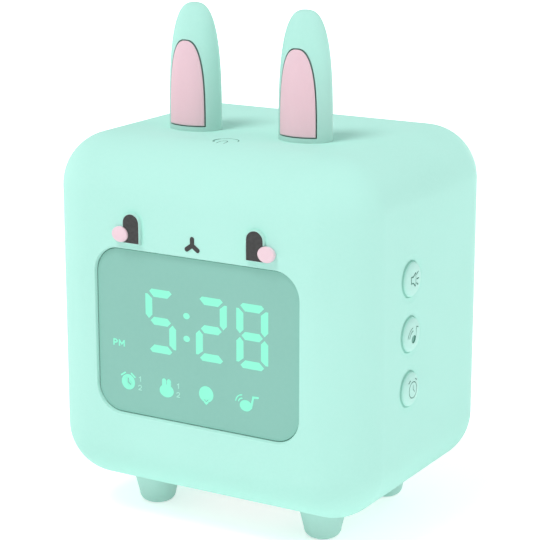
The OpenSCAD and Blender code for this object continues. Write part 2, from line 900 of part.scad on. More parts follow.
// A foot with its barbed stem. Its top is at z = 0.
module foot() {
    sole_r = foot_sole_d / 2;
    steps = 10;
    color(mint) rotate_extrude() polygon(concat(
        [[0, -foot_h], [sole_r - foot_round, -foot_h]],
        [for (i = [1:steps]) let (turn = 90 * i / steps)
            [sole_r - foot_round + foot_round * sin(turn), -foot_h + foot_round - foot_round * cos(turn)]],
        [
            [foot_top_d / 2, 0], [foot_stem_d / 2, 0], [foot_stem_d / 2, cavity_in],
            [barb_d / 2, cavity_in], [barb_d / 2, cavity_in + barb_h * 0.3],
            [barb_tip_d / 2, cavity_in + barb_h], [0, cavity_in + barb_h]
        ]
    ));
}

module foot_front_left() {
    foot_place(-1, -1) foot();
}

module foot_front_right() {
    foot_place(1, -1) foot();
}

module foot_rear_left() {
    foot_place(-1, 1) foot();
}

module foot_rear_right() {
    foot_place(1, 1) foot();
}

// ---------------------------------------------------------------- ears

module ear_place(side) {
    translate([side * ear_pitch / 2, front_y + ear_y, top_z]) children();
}

// Width of an ear at a share t of its height, as a share of the width at its foot
function ear_share(t) = pow(1 - pow(t, ear_straight), 1 / ear_blunt);

// Points of one level of an ear, at a share t of its height, for the form grown outwards by a distance
function ear_ring(t, grow) = [for (j = [0:ear_sides - 1]) let (turn = 360 * j / ear_sides) [
    (ear_w / 2 + grow) * ear_share(t) * cos(turn),
    (ear_t / 2 + grow) * ear_share(t) * sin(turn),
    (ear_h + grow) * t
]];

// The ear's form, lofted through its levels, or the same form grown outwards by a distance
module ear_form(grow = 0) {
    n = ear_sides;
    rings = [for (i = [0:ear_levels - 1]) each ear_ring(sin(90 * i / ear_levels), grow)];
    tip = n * ear_levels;
    polyhedron(concat(rings, [[0, 0, ear_h + grow]]), concat(
        [[for (j = [0:n - 1]) j]],
        [for (i = [0:ear_levels - 2], j = [0:n - 1]) let (k = (j + 1) % n)
            [i * n + j, (i + 1) * n + j, (i + 1) * n + k, i * n + k]],
        [for (j = [0:n - 1]) [tip - n + j, tip, tip - n + (j + 1) % n]]
    ));
}

// Outline of the inner ear seen from the front, grown by a distance
module inner_ear_outline(grow = 0) {
    steps = 14;
    low = inner_ear_z / inner_ear_top;
    shares = [for (i = [0:steps]) low + (1 - low) * sin(90 * i / steps)];
    side = [for (t = shares) [
        inner_ear_w / 2 * pow(1 - pow(t, pad_straight), 1 / pad_blunt) + grow,
        t * inner_ear_top + grow * (t - low) / (1 - low) - (t == low ? grow : 0)
    ]];
    polygon(concat(side, [for (i = [len(side) - 1:-1:0]) [-side[i][0], side[i][1]]]));
}

// The outline as a column from the middle of the ear to well in front of it
module inner_ear_column(grow = 0) {
    rotate([90, 0, 0]) linear_extrude(ear_t) inner_ear_outline(grow);
}

module ear() {
    color(mint) {
        difference() {
            ear_form();
            difference() {
                inner_ear_column(inner_ear_gap);
                ear_form(-inner_ear_pocket);
            }
        }
        translate([0, 0, -cavity_in]) cylinder(d = ear_stem_d, h = cavity_in + over, $fn = ear_fn);
        translate([0, 0, -cavity_in - ear_barb_h])
            cylinder(d1 = ear_barb_tip_d, d2 = ear_barb_d, h = ear_barb_h, $fn = ear_fn);
    }
}

module inner_ear() {
    color(pink) difference() {
        intersection() {
            inner_ear_column();
            ear_form(inner_ear_proud);
        }
        ear_form(-inner_ear_pocket);
    }
}

module ear_left() {
    ear_place(-1) ear();
}

module ear_right() {
    ear_place(1) ear();
}

module inner_ear_left() {
    ear_place(-1) inner_ear();
}

module inner_ear_right() {
    ear_place(1) inner_ear();
}

// ---------------------------------------------------------------- face

module eye(side) {
    color(charcoal) on_face(side * eye_pitch / 2, eye_z)
        translate([0, 0, eye_proud - inlay_t]) linear_extrude(inlay_t) eye_shape(side);
}

module cheek(side) {
    edge = cheek_proud - cheek_round;
    color(cheek_pink) on_face(side * cheek_pitch / 2, cheek_z) {
        linear_extrude(edge) ellipse(cheek_w, cheek_h);
        hull() for (turn = [0:22.5:90]) {
            inset = 2 * cheek_round * (1 - cos(turn));
            translate([0, 0, edge + cheek_round * sin(turn) - eps])
                linear_extrude(eps) ellipse(cheek_w - inset, cheek_h - inset);
        }
        translate([0, 0, -cavity_in]) cylinder(d = cheek_pin_d, h = cavity_in + edge / 2);
    }
}

module eye_left() {
    eye(-1);
}

module eye_right() {
    eye(1);
}

module cheek_left() {
    cheek(-1);
}

module cheek_right() {
    cheek(1);
}

module nose() {
    color(charcoal) on_face(-nose_left, nose_z) translate([0, 0, -inlay_t])
        linear_extrude(inlay_t + nose_proud) nose_shape();
}

// ---------------------------------------------------------------- display

// A frame at the window's middle, at a depth below the face
module in_display(depth) {
    on_face(0, window_z) translate([0, 0, -depth]) children();
}

module display_window() {
    color(deep_mint) difference() {
        in_display(housing_in) plate(window_w, window_h, window_r, window_t);
        in_display(window_recess + lit_t) linear_extrude(lit_t + over) {
            digits();
            colon();
        }
    }
}

module time_digits() {
    color(lit_mint) in_display(window_recess + lit_t) linear_extrude(lit_t) digits();
}

module colon_dots() {
    color(lit_mint) in_display(window_recess + lit_t) linear_extrude(lit_t) colon();
}

// A plate that fits the housing's aperture, open behind the digits, the colon and the signs
module light_block(t, rim = 0) {
    difference() {
        plate(aperture_w - 2 * seat_gap, aperture_h - 2 * seat_gap, window_r - window_lip, t);
        translate([0, 0, -over]) linear_extrude(t + 2 * over) {
            digits();
            colon();
            for (spot = sign_spots)
                translate(spot) square([chamber_w - 2 * rim, chamber_h - 2 * rim], center = true);
        }
    }
}

module display_mask() {
    color(black) in_display(reflector_in) light_block(mask_t, mask_rim);
}

module display_reflector() {
    color(milky) in_display(display_board_in) light_block(reflector_t);
}

module display_board() {
    color(board_green) in_display(display_board_in + board_t) {
        difference() {
            plate(display_board_w, display_board_h, display_board_r, board_t);
            at_corners(display_boss_x, display_boss_z) small_hole(board_t);
        }
        translate([0, ribbon_z() - window_z, -connector_h]) chip([connector_w, connector_d, connector_h]);
    }
}

// Middle of each bar of a digit, from the digit's middle
bar_middles = let (x = (digit_w - bar_t) / 2, y = (digit_h - bar_t) / 2, half = digit_h / 4)
    [[0, y], [-x, half], [x, half], [0, 0], [-x, -half], [x, -half], [0, -y]];

module display_leds() {
    up = digit_z - window_z;
    color(warm_white) in_display(display_board_in) {
        for (i = [0:2], n = digit_bars[i])
            translate([digit_xs[i], up] + bar_middles[n]) chip(display_led);
        for (spot = concat(colon_spots, sign_spots)) translate(spot) chip(display_led);
    }
}

// Height of the ribbon above the body's underside
function ribbon_z() = main_board_z + board_t + connector_h / 2;

// A flat cable that hangs in a shallow bow from the display board to the main board
module display_ribbon() {
    start = front_y + display_board_in + board_t + connector_h;
    span = main_board_front - start;
    steps = 16;
    bow = [for (i = [0:steps]) [start + span * i / steps, -ribbon_sag * sin(180 * i / steps)]];
    color(film_amber) translate([-ribbon_w / 2, 0, body_z + ribbon_z()])
        rotate([90, 0, 90]) linear_extrude(ribbon_w) polygon(concat(
            [for (p = bow) [p[0], p[1] + ribbon_t / 2]],
            [for (i = [steps:-1:0]) [bow[i][0], bow[i][1] - ribbon_t / 2]]
        ));
}

// ---------------------------------------------------------------- keys

// A key with its flange and stem. z = 0 is the side of the body.
module key() {
    r = key_d / 2;
    steps = 8;
    color(mint) rotate_extrude() polygon(concat(
        [
            [0, key_tip_z], [key_stem_d / 2, key_tip_z], [key_stem_d / 2, key_back_z],
            [key_flange_d / 2, key_back_z], [key_flange_d / 2, key_flange_z], [r, key_flange_z]
        ],
        [for (i = [0:steps]) let (turn = 90 * i / steps)
            [r - key_round + key_round * cos(turn), key_proud - key_round + key_round * sin(turn)]],
        [[0, key_proud]]
    ));
}

module volume_button() {
    on_side(1, key_z + key_pitch) key();
}

module sound_button() {
    on_side(1, key_z) key();
}

module alarm_button() {
    on_side(1, key_z - key_pitch) key();
}

module light_button() {
    on_side(-1, key_z + key_pitch) key();
}

module nap_button() {
    on_side(-1, key_z) key();
}

module time_button() {
    on_side(-1, key_z - key_pitch) key();
}

module key_board(side) {
    color(board_green) on_side(side, key_z) translate([0, 0, key_board_z - board_t]) difference() {
        plate(key_board_w, key_board_h, key_board_r, board_t);
        for (s = sides) translate([0, s * key_boss_z, 0]) small_hole(board_t);
    }
}

// Dome switches: each has a well that the key's stem presses into
module key_switches(side) {
    color(black) for (z = key_offsets)
        on_side(side, key_z + z) translate([0, 0, key_board_z]) difference() {
            chip([dome_w, dome_w, dome_h]);
            translate([0, 0, dome_h - dome_well]) cylinder(d = dome_well_d, h = dome_well + over);
        }
}

module key_board_right() {
    key_board(1);
}

module key_board_left() {
    key_board(-1);
}

module key_switches_right() {
    key_switches(1);
}

module key_switches_left() {
    key_switches(-1);
}

// ---------------------------------------------------------------- night light

module light_board() {
    color(milky) difference() {
        translate([0, light_board_y, body_z + light_board_z])
            plate(light_board_w, light_board_d, light_board_r, board_t);
        at_light_posts(light_post_ys) small_hole(board_t);
    }
}

module on_light_board() {
    translate([0, light_board_y, body_z + light_board_z + board_t]) children();
}

module night_light_leds() {
    color(warm_white) on_light_board()
        for (x = [-1:1], y = sides)
            translate([x * led_pitch_x, y * led_pitch_y / 2, 0]) chip([led_w, led_w, led_t]);
}

module light_diffuser() {
    color(milky) on_light_board() difference() {
        plate(diffuser_w, diffuser_d, diffuser_r, diffuser_h);
        translate([0, 0, -diffuser_t])
            plate(
                diffuser_w - 2 * diffuser_t, diffuser_d - 2 * diffuser_t,
                diffuser_r - diffuser_t, diffuser_h
            );
    }
}

module touch_electrode() {
    color(copper) translate([0, front_y + electrode_y, top_z - cavity_in - electrode_t])
        cylinder(d = electrode_d, h = electrode_t);
}

// ---------------------------------------------------------------- main board and power

module main_board() {
    depth = main_board_back - main_board_front;
    color(board_green) {
        difference() {
            translate([0, main_board_front + depth / 2, body_z + main_board_z])
                plate(main_board_w, depth, board_r, board_t);
            at_main_posts() small_hole(board_t);
        }
        on_main_board([0, main_board_front + connector_d / 2]) chip([connector_w, connector_d, connector_h]);
    }
}

module on_main_board(at) {
    translate([at[0], at[1], body_z + main_board_z + board_t]) children();
}

// The processor, the sound amplifier, a memory chip and a large capacitor
module control_chips() {
    color(black) {
        on_main_board([-processor_x, mid_y + processor_y]) chip([processor_w, processor_w, processor_t]);
        on_main_board([amplifier_x, mid_y + amplifier_y]) chip([amplifier_w, amplifier_d, amplifier_t]);
        on_main_board([-memory_x, mid_y + memory_y]) chip([memory_w, memory_d, memory_t]);
        on_main_board([capacitor_x, mid_y + capacitor_y]) cylinder(d = capacitor_d, h = capacitor_h);
    }
}

module board_screws() {
    color(steel) {
        at_display_bosses() translate([0, 0, -display_board_in - board_t])
            mirror([0, 0, 1]) small_screw();
        for (s = sides) at_key_bosses(s) translate([0, 0, key_board_z - board_t])
            mirror([0, 0, 1]) small_screw();
        at_light_posts(light_post_ys) mirror([0, 0, 1]) small_screw();
        at_main_posts() translate([0, 0, board_t]) small_screw();
    }
}

module battery() {
    color(cell_blue) translate([0, mid_y, body_z + cavity_in + tray_t]) {
        plate(battery_w, battery_d, battery_r, battery_h);
    }
}

module battery_tray() {
    w = battery_w + 2 * battery_gap;
    d = battery_d + 2 * battery_gap;
    color(milky) translate([0, mid_y, body_z + cavity_in]) difference() {
        plate(w + 2 * tray_t, d + 2 * tray_t, tray_r, battery_h * tray_share);
        translate([0, 0, tray_t]) plate(w, d, battery_r, battery_h);
    }
}

// ---------------------------------------------------------------- speaker

module at_speaker_screws() {
    for (turn = [45:90:315]) rotate(turn) translate([speaker_screw_r, 0, 0]) children();
}

// A frame at the speaker's middle, with Z out of the back, at the flange's outer face
module in_speaker() {
    on_back(0, speaker_z) translate([0, 0, -cavity_in - speaker_seat]) children();
}

module speaker_frame() {
    r = speaker_d / 2;
    rim = speaker_rim_d / 2;
    neck = basket_d / 2;
    color(steel) in_speaker() difference() {
        rotate_extrude() polygon([
            [rim, 0], [r, 0], [r, -speaker_flange_t], [rim + basket_t, -speaker_flange_t],
            [neck + basket_t, -basket_h], [0, -basket_h], [0, -basket_h + basket_t],
            [neck, -basket_h + basket_t], [rim, -speaker_flange_t]
        ]);
        at_speaker_screws() translate([0, 0, -speaker_flange_t]) small_hole(speaker_flange_t);
        for (turn = [0:90:270]) rotate(turn)
            translate([neck + basket_window_d / 2, 0, -basket_h + basket_foot])
                chip([basket_window_d, basket_window_w, basket_window_h]);
    }
}

// The cap, the cone and the raised surround in one skin, on the tube of the coil
module speaker_cone() {
    rim = speaker_rim_d / 2 - cone_gap;
    fold = rim - surround_w;
    crest = rim - surround_w / 2;
    neck = cone_neck_d / 2;
    foot = -basket_h + basket_t;
    color(paper_grey) in_speaker() rotate_extrude() polygon([
        [0, cap_out - cone_depth], [neck * 0.6, 0.8 * cap_out - cone_depth], [neck, cone_t - cone_depth],
        [fold, cone_t - speaker_flange_t], [crest, surround_out - speaker_flange_t],
        [rim, cone_t - speaker_flange_t],
        [rim, -speaker_flange_t], [crest, surround_out - cone_t - speaker_flange_t],
        [fold, -speaker_flange_t], [neck, -cone_depth], [neck, foot], [neck - cone_t, foot],
        [neck - cone_t, -cone_depth], [0, cap_out - cone_t - cone_depth]
    ]);
}

module speaker_magnet() {
    color(black) in_speaker() translate([0, 0, -basket_h - magnet_t])
        cylinder(d = magnet_d, h = magnet_t);
}

module speaker_screws() {
    color(steel) in_speaker() at_speaker_screws() translate([0, 0, -speaker_flange_t])
        mirror([0, 0, 1]) screw(small_screw_d, speaker_screw_l, small_head_d, small_head_t);
}

// ---------------------------------------------------------------- rear panel, socket and switches

module usb_outline(grow = 0) {
    rounded_outline(usb_w + 2 * grow, usb_h + 2 * grow, usb_h / 2 + grow - eps);
}

// Holes for the socket, the switch knob and the reset pin, down to a depth below the back
module rear_ports(depth, grow = 0) {
    on_back(0, usb_z) translate([0, 0, -depth]) linear_extrude(depth + over) usb_outline(usb_gap + grow);
    knob_slot(-depth, depth + over, grow);
    on_back(-reset_x, knob_z) translate([0, 0, -depth])
        cylinder(d = reset_hole_d + grow, h = depth + over);
}

// Room for the knob over its whole travel, from a depth out by a length
module knob_slot(z, l, grow = 0) {
    room = 2 * (knob_gap + grow);
    on_back(switch_x + switch_travel / 2, knob_z) translate([0, 0, z])
        chip([knob_w + switch_travel + room, knob_h + room, l]);
}

// Axes of the panel's screws, pointing out of the back, from a depth
module at_panel_screws(depth) {
    on_back(0, panel_z) at_corners(panel_screw_x, panel_screw_z) translate([0, 0, -depth]) children();
}

module grille_holes(t) {
    cylinder(d = grille_hole_d, h = t);
    for (ring = [1:grille_rings], i = [0:6 * ring - 1])
        rotate(60 * i / ring) translate([ring * grille_pitch, 0, 0]) cylinder(d = grille_hole_d, h = t);
}

module rear_panel() {
    color(milky) difference() {
        on_back(0, panel_z) translate([0, 0, -housing_in]) plate(panel_w, panel_h, panel_r, panel_t);
        on_back(0, speaker_z) translate([0, 0, -housing_in - over]) grille_holes(housing_in + 2 * over);
        rear_ports(housing_in + over);
        at_panel_screws(housing_in) small_hole(housing_in);
        at_panel_screws(panel_recess + small_head_t)
            cylinder(d = small_head_d + 2 * small_well_gap, h = small_head_t + over);
    }
}

module rear_panel_screws() {
    color(steel) at_panel_screws(panel_recess + small_head_t) small_screw();
}

// The shell is open to the back, with a tongue in the middle
module usb_socket() {
    color(steel) on_back(0, usb_z) translate([0, 0, -usb_face - usb_l]) {
        difference() {
            linear_extrude(usb_l) usb_outline();
            translate([0, 0, usb_l - usb_depth]) linear_extrude(usb_l) usb_outline(-usb_wall);
        }
        translate([0, 0, usb_l - usb_depth - usb_tongue_back])
            chip([usb_w - 2 * usb_tongue_side, usb_tongue_t, usb_depth]);
    }
}

module power_switch_body() {
    color(steel) difference() {
        on_main_board([switch_x + switch_travel / 2, switch_face_y - switch_d / 2])
            chip([switch_w, switch_d, switch_h]);
        knob_slot(-cavity_in - slot_reach, slot_reach + over);
    }
}

// The knob stands at off and slides to the right to switch on
module power_switch_knob() {
    reach = cavity_in + knob_reach;
    color(charcoal) on_back(switch_x, knob_z) translate([0, 0, -reach])
        chip([knob_w, knob_h, reach - knob_recess]);
}

module reset_switch() {
    color(black) on_main_board([-reset_x, switch_face_y - reset_switch_d / 2])
        chip([reset_switch_w, reset_switch_d, reset_switch_d]);
}

silicone_sleeve();
front_housing();
rear_housing();
housing_screws();
base_plate();
base_screws();
foot_front_left();
foot_front_right();
foot_rear_left();
foot_rear_right();
ear_left();
ear_right();
inner_ear_left();
inner_ear_right();
eye_left();
eye_right();
cheek_left();
cheek_right();
nose();
display_window();
time_digits();
colon_dots();
display_mask();
display_reflector();
display_board();
display_leds();
display_ribbon();
volume_button();
sound_button();
alarm_button();
light_button();
nap_button();
time_button();
key_board_right();
key_board_left();
key_switches_right();
key_switches_left();
light_board();
night_light_leds();
light_diffuser();
touch_electrode();
main_board();
control_chips();
board_screws();
battery();
battery_tray();
speaker_frame();
speaker_cone();
speaker_magnet();
speaker_screws();
rear_panel();
rear_panel_screws();
usb_socket();
power_switch_body();
power_switch_knob();
reset_switch();
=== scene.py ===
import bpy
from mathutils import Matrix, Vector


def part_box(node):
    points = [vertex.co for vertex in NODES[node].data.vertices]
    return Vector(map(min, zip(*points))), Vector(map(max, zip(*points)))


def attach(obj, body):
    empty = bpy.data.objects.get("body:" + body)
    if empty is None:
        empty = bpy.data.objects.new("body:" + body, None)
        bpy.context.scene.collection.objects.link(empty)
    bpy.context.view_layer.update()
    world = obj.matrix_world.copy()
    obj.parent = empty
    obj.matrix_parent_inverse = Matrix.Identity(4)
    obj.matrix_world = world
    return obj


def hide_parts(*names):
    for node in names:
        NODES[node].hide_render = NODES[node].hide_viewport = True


bl_info = {
    "name": "Night Light Alarm Clock",
    "version": (1, 0, 0),
    "blender": (4, 5, 0),
    "location": "View3D > Sidebar > Clock",
    "description": "Dresses a children's alarm clock in soft silicone, lit plastic and metal",
    "category": "Object",
}

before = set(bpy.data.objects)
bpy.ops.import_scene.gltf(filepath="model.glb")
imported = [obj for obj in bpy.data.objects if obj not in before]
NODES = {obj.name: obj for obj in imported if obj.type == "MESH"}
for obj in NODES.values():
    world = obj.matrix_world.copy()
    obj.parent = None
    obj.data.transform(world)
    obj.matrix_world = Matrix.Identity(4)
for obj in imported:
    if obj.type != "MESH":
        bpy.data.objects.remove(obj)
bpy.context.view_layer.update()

import math

import bmesh
import bpy
from bpy.props import FloatProperty, FloatVectorProperty, PointerProperty
from mathutils import Vector

MM = 0.001


def box_mm(node):
    """Low and high corner of a node, in millimetres."""
    return [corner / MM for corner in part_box(node)]


# Places that the solids give, in millimetres
WINDOW_LOW, WINDOW_HIGH = box_mm("display_window")
SLEEVE_LOW, SLEEVE_HIGH = box_mm("silicone_sleeve")
PAD_LOW, PAD_HIGH = box_mm("inner_ear_left")
KEY_LOW, KEY_HIGH = box_mm("sound_button")
WINDOW_MIDDLE = (WINDOW_LOW + WINDOW_HIGH) / 2
WINDOW_SPAN = WINDOW_HIGH - WINDOW_LOW
WINDOW_Y = WINDOW_LOW.y
BODY_Z = SLEEVE_LOW.z
TOP_Z = SLEEVE_HIGH.z
BACK_Y = SLEEVE_HIGH.y
SIDE_X = SLEEVE_HIGH.x
KEY_Y = (KEY_LOW.y + KEY_HIGH.y) / 2
EAR_X = -(PAD_LOW.x + PAD_HIGH.x) / 2
EAR_TIP = box_mm("ear_left")[1].z - TOP_Z
PAD_W = (PAD_HIGH.x - PAD_LOW.x) / 2
PAD_Z = PAD_LOW.z - TOP_Z

# Sizes of the solids that their boxes don't show, in millimetres
RECESS = 0.9
CORNER_R = 15.2
WINDOW_R = 7.4
PANEL_R = 8
PLATE_R = 6
OPENING_GAP = 0.1
EAR_Y = -11.15
EAR_W, EAR_T = 7.8, 5.95
PAD_TIP = PAD_HIGH.z - TOP_Z - 0.4
FACE_Y = WINDOW_Y - RECESS
MID_Y = (FACE_Y + BACK_Y) / 2
KEY_HOLE = 5.2
KEY_GAP = 0.17
FLANGE_R = 6.4
FLANGE_FLOOR, FLANGE_TOP = -5.8, -4.8
PLUNGER_R = 1.5

# Radius of a key's dome at its foot, in millimetres
KEY_R = 4.74
# Exponents of the outlines of the ears and their pads
EAR_STRAIGHT, EAR_BLUNT = 3.08, 2.81
PAD_STRAIGHT, PAD_BLUNT = 3.3, 2.5
# The keys, with 1 for the right side and -1 for the left
KEYS = {
    "volume_button": 1, "sound_button": 1, "alarm_button": 1,
    "light_button": -1, "nap_button": -1, "time_button": -1,
}

# How far a cutting shape reaches past what it cuts, in millimetres
OVER = 0.5
# Steps round the keys and the ears
ROUND_STEPS = 96
# Slack of the rules that tell a mesh's faces apart, in millimetres
SLACK = 0.01
# How close a corner lies to the form that it takes its shading from, in millimetres
NEAR_BLOCK, NEAR_EAR, NEAR_DOME = 0.04, 0.05, 0.03
# Least cosine between a face and that form
ALIKE = 0.9
# Edges that turn by more degrees than this stay sharp
SHARP_TURN = 32
# Least number that another is divided by
TINY = 1e-12
# Sockets of the mixing node for colours
MIX_A, MIX_B, MIX_OUT = 6, 7, 2


def tint(red, green, blue):
    """Linear colour of a display colour with channels from 0 to 255."""
    return tuple(
        c / 12.92 if c <= 0.04045 else ((c + 0.055) / 1.055) ** 2.4
        for c in (red / 255, green / 255, blue / 255)
    )


def colour(name, what, *rgb):
    return FloatVectorProperty(
        name=name, description=what, subtype="COLOR", size=3, min=0, max=1, default=tint(*rgb)
    )


def length(name, what, mm):
    return FloatProperty(
        name=name, description=what, subtype="DISTANCE", unit="LENGTH", min=0, default=mm * MM
    )


class ClockColours(bpy.types.PropertyGroup):
    mint: colour("Sleeve", "Silicone of the sleeve and the ears", 192, 248, 235)
    # Painted shade: the ears' silicone darkens to this colour towards their foot, where shade falls on
    # them
    ear_foot: colour("Ears at the foot", "Silicone of the ears where they are thickest", 184, 221, 212)
    # Painted sheen: the keys' silicone is painted paler than the sleeve's mint
    key: colour("Keys", "Silicone of the keys", 199, 247, 236)
    # Painted shade: the feet get a darker copy of the sleeve's mint, for the shade under the body
    foot: colour("Feet", "Silicone of the feet", 193, 235, 225)
    # Painted shade: a dark copy of the window's plastic on its edge, where shadow falls in the joint
    pane_edge: colour("Window edge", "Shade of the window's edge in its joint", 84, 128, 116)
    # Painted shade in the groove round the ear pads
    joint: colour("Joints", "Shade in the narrow joint round an ear's pad", 164, 194, 186)
    # Painted shade in the rounding of the window's opening
    rim: colour("Window rim", "Shade in the rounding of the window's opening", 182, 238, 225)
    # Painted shade in the crease round a key
    crease: colour("Key creases", "Shade in the crease round a key", 160, 218, 204)
    # Painted shade in the signs and the touch mark pressed into the silicone
    pressed: colour("Pressed signs", "Shade in the signs pressed into the silicone", 134, 188, 175)
    pink: colour("Inner ears", "Silicone of the pads in the ears", 245, 210, 221)
    # Painted shade: the pads' pink darkens to this colour towards the ears' foot
    pink_foot: colour("Inner ears at the foot", "Silicone of the pads at the ears' foot", 244, 201, 212)
    cheek: colour("Cheeks", "Silicone of the cheeks", 250, 219, 229)
    charcoal: colour("Eyes and nose", "Dark silicone of the face", 76, 76, 76)
    window: colour("Window", "Smoked plastic over the display", 141, 200, 186)
    lit: colour("Lit shapes", "Digits and signs that are on", 150, 255, 222)
    dim: colour("Faint shapes", "Signs that are only half lit", 176, 236, 220)
    milky: colour("Hard plastic", "Housing, base plate and rear panel", 238, 241, 236)
    ground: colour("Ground", "Table top that the clock stands on", 250, 250, 250)


class ClockSizes(bpy.types.PropertyGroup):
    rim_round: length("Rim rounding", "Rounding of the openings at the back and the base", 0.4)
    window_round: length("Window rim rounding", "Rounding of the window's opening", 0.5)
    pane_round: length("Window edge rounding", "Rounding of the window's own edge", 0.24)
    key_round: length("Key rounding", "Width of the rounding along a key's edge", 2.4)
    key_crown: length("Key crown", "How far a key's middle rises over its rounding", 0.14)
    dish_depth: length("Key dish depth", "Depth of the shallow dish round each key", 0.25)
    dish_width: length("Key dish width", "Width of the shallow dish round each key", 2.4)
    sign_depth: length("Sign depth", "Depth of the signs pressed into the keys", 0.4)
    mark_depth: length("Touch mark depth", "Depth of the touch mark pressed into the top", 0.16)
    lit_step: length("Lit step", "How far the printed signs stand on the window", 0.05)
    pad_proud: length("Ear pad step", "How far the pads stand out of the ears", 0.2)
    pad_round: length("Ear pad rounding", "Rounding of the pads' edge", 0.35)
    pad_gap: length("Ear pad groove", "Open groove round the pads", 0.3)
    pad_pocket: length("Ear pocket", "Depth of the pocket that a pad sits in", 1.2)
    cheek_round: length("Cheek rounding", "Rounding of the cheeks' edge", 0.55)
    ground_size: length("Ground size", "Width of the table top", 3000)


def colours():
    return bpy.context.scene.clock_colours


def sizes(*names):
    """Sizes of the clock by name, in millimetres."""
    return [getattr(bpy.context.scene.clock_sizes, name) / MM for name in names]


# ---------------- finishes


class Finish:
    """A node material for one kind of surface, with its texture in the object's own metres."""

    def __init__(self, name, base, rough, **constants):
        self.material = bpy.data.materials.new(name)
        self.material.use_nodes = True
        self.material.diffuse_color = (*base, 1)
        self.tree = self.material.node_tree
        self.shader = self.tree.nodes["Principled BSDF"]
        self.base = base
        self.rough = rough
        self.set("Base Color", (*base, 1))
        self.set("Roughness", rough)
        for socket, value in constants.items():
            self.set(socket.replace("_", " "), value)
        self.place = self.tree.nodes.new("ShaderNodeTexCoord").outputs["Object"]
        self.height = None

    def set(self, socket, value):
        self.shader.inputs[socket].default_value = value

    def link(self, source, target):
        self.tree.links.new(source, target)

    def node(self, kind, **settings):
        new = self.tree.nodes.new(kind)
        for key, value in settings.items():
            setattr(new, key, value)
        return new

    def noise(self, grain_mm, detail=2.0, stretch=(1, 1, 1)):
        """Smooth noise with spots of about one size."""
        place = self.place
        if stretch != (1, 1, 1):
            mapping = self.node("ShaderNodeMapping")
            mapping.inputs["Scale"].default_value = stretch
            self.link(place, mapping.inputs["Vector"])
            place = mapping.outputs["Vector"]
        noise = self.node("ShaderNodeTexNoise")
        noise.inputs["Scale"].default_value = 1 / (grain_mm * MM)
        noise.inputs["Detail"].default_value = detail
        self.link(place, noise.inputs["Vector"])
        return noise.outputs["Fac"]

    def spread(self, value, low, high, cut=(0.3, 0.7)):
        """The value's middle part, stretched from low to high."""
        span = self.node("ShaderNodeMapRange")
        self.link(value, span.inputs["Value"])
        for socket, number in zip(("From Min", "From Max", "To Min", "To Max"), (*cut, low, high)):
            span.inputs[socket].default_value = number
        return span.outputs["Result"]

    def mottle(self, value, other, share=1.0, cut=(0.3, 0.7)):
        """The base colour drifts towards another where the value is high."""
        mix = self.node("ShaderNodeMix", data_type="RGBA")
        self.link(self.spread(value, 0, share, cut), mix.inputs["Factor"])
        now = self.shader.inputs["Base Color"]
        if now.links:
            self.link(now.links[0].from_socket, mix.inputs[MIX_A])
        else:
            mix.inputs[MIX_A].default_value = (*self.base, 1)
        mix.inputs[MIX_B].default_value = (*other, 1)
        self.link(mix.outputs[MIX_OUT], now)
        return self

    def uneven(self, value, amount):
        """The roughness wanders by an amount each way."""
        rough = self.spread(value, self.rough - amount, self.rough + amount)
        self.link(rough, self.shader.inputs["Roughness"])
        return self

    def relief(self, value, depth_mm):
        """The surface rises by a depth where the value is high."""
        bump = self.node("ShaderNodeBump")
        bump.inputs["Strength"].default_value = 1
        bump.inputs["Distance"].default_value = depth_mm * MM
        self.link(value, bump.inputs["Height"])
        if self.height:
            self.link(self.height, bump.inputs["Normal"])
        self.height = bump.outputs["Normal"]
        self.link(self.height, self.shader.inputs["Normal"])
        return self


def paler(base, share):
    return tuple(c + (1 - c) * share for c in base)


def darker(base, share):
    return tuple(c * (1 - share) for c in base)


def matt_silicone(name, base, rough=0.58):
    """Moulded silicone: an even colour, a fine powdery skin and hardly any shine."""
    f = Finish(
        name, base, rough, IOR=1.41, Specular_IOR_Level=0.03, Subsurface_Weight=0.12,
        Subsurface_Scale=1.5 * MM, Subsurface_Radius=(0.8, 1.0, 0.95),
    )
    f.mottle(f.noise(38, 3), darker(base, 0.03)).mottle(f.noise(0.9, 4), paler(base, 0.04), 0.5)
    f.uneven(f.noise(6, 5), 0.05)
    return f.relief(f.noise(0.32, 3), 0.006).relief(f.noise(9, 2), 0.015)


def silicone(name, base, rough=0.58):
    return matt_silicone(name, base, rough).material


def ear_silicone(name, base, foot):
    """Silicone with painted shade: it gets darker towards an ear's foot, where shade falls."""
    f = matt_silicone(name, base)
    height = f.node("ShaderNodeSeparateXYZ")
    f.link(f.place, height.inputs["Vector"])
    pale, deep = (TOP_Z + 0.68 * EAR_TIP) * MM, (TOP_Z - 2) * MM
    return f.mottle(f.spread(height.outputs["Z"], 0, 1, (pale, deep)), foot, cut=(0, 1)).material


def hard_plastic(name, base, rough=0.42, grain=0.5):
    """Injection-moulded plastic with a spark-eroded grain."""
    f = Finish(name, base, rough, IOR=1.49, Specular_IOR_Level=0.5)
    f.mottle(f.noise(25, 3), darker(base, 0.025)).uneven(f.noise(4, 4), 0.06)
    return f.relief(f.noise(grain, 4), 0.012).material


def window_plastic(name, base):
    """Tinted plastic with a matt front that hides what is not lit."""
    f = Finish(name, base, 0.46, IOR=1.49, Specular_IOR_Level=0.35, Coat_Weight=0.08, Coat_Roughness=0.35)
    f.mottle(f.noise(30, 2), darker(base, 0.03)).mottle(f.noise(1.2, 4), paler(base, 0.02), 0.5)
    return f.uneven(f.noise(8, 3), 0.04).relief(f.noise(0.4, 3), 0.004).material


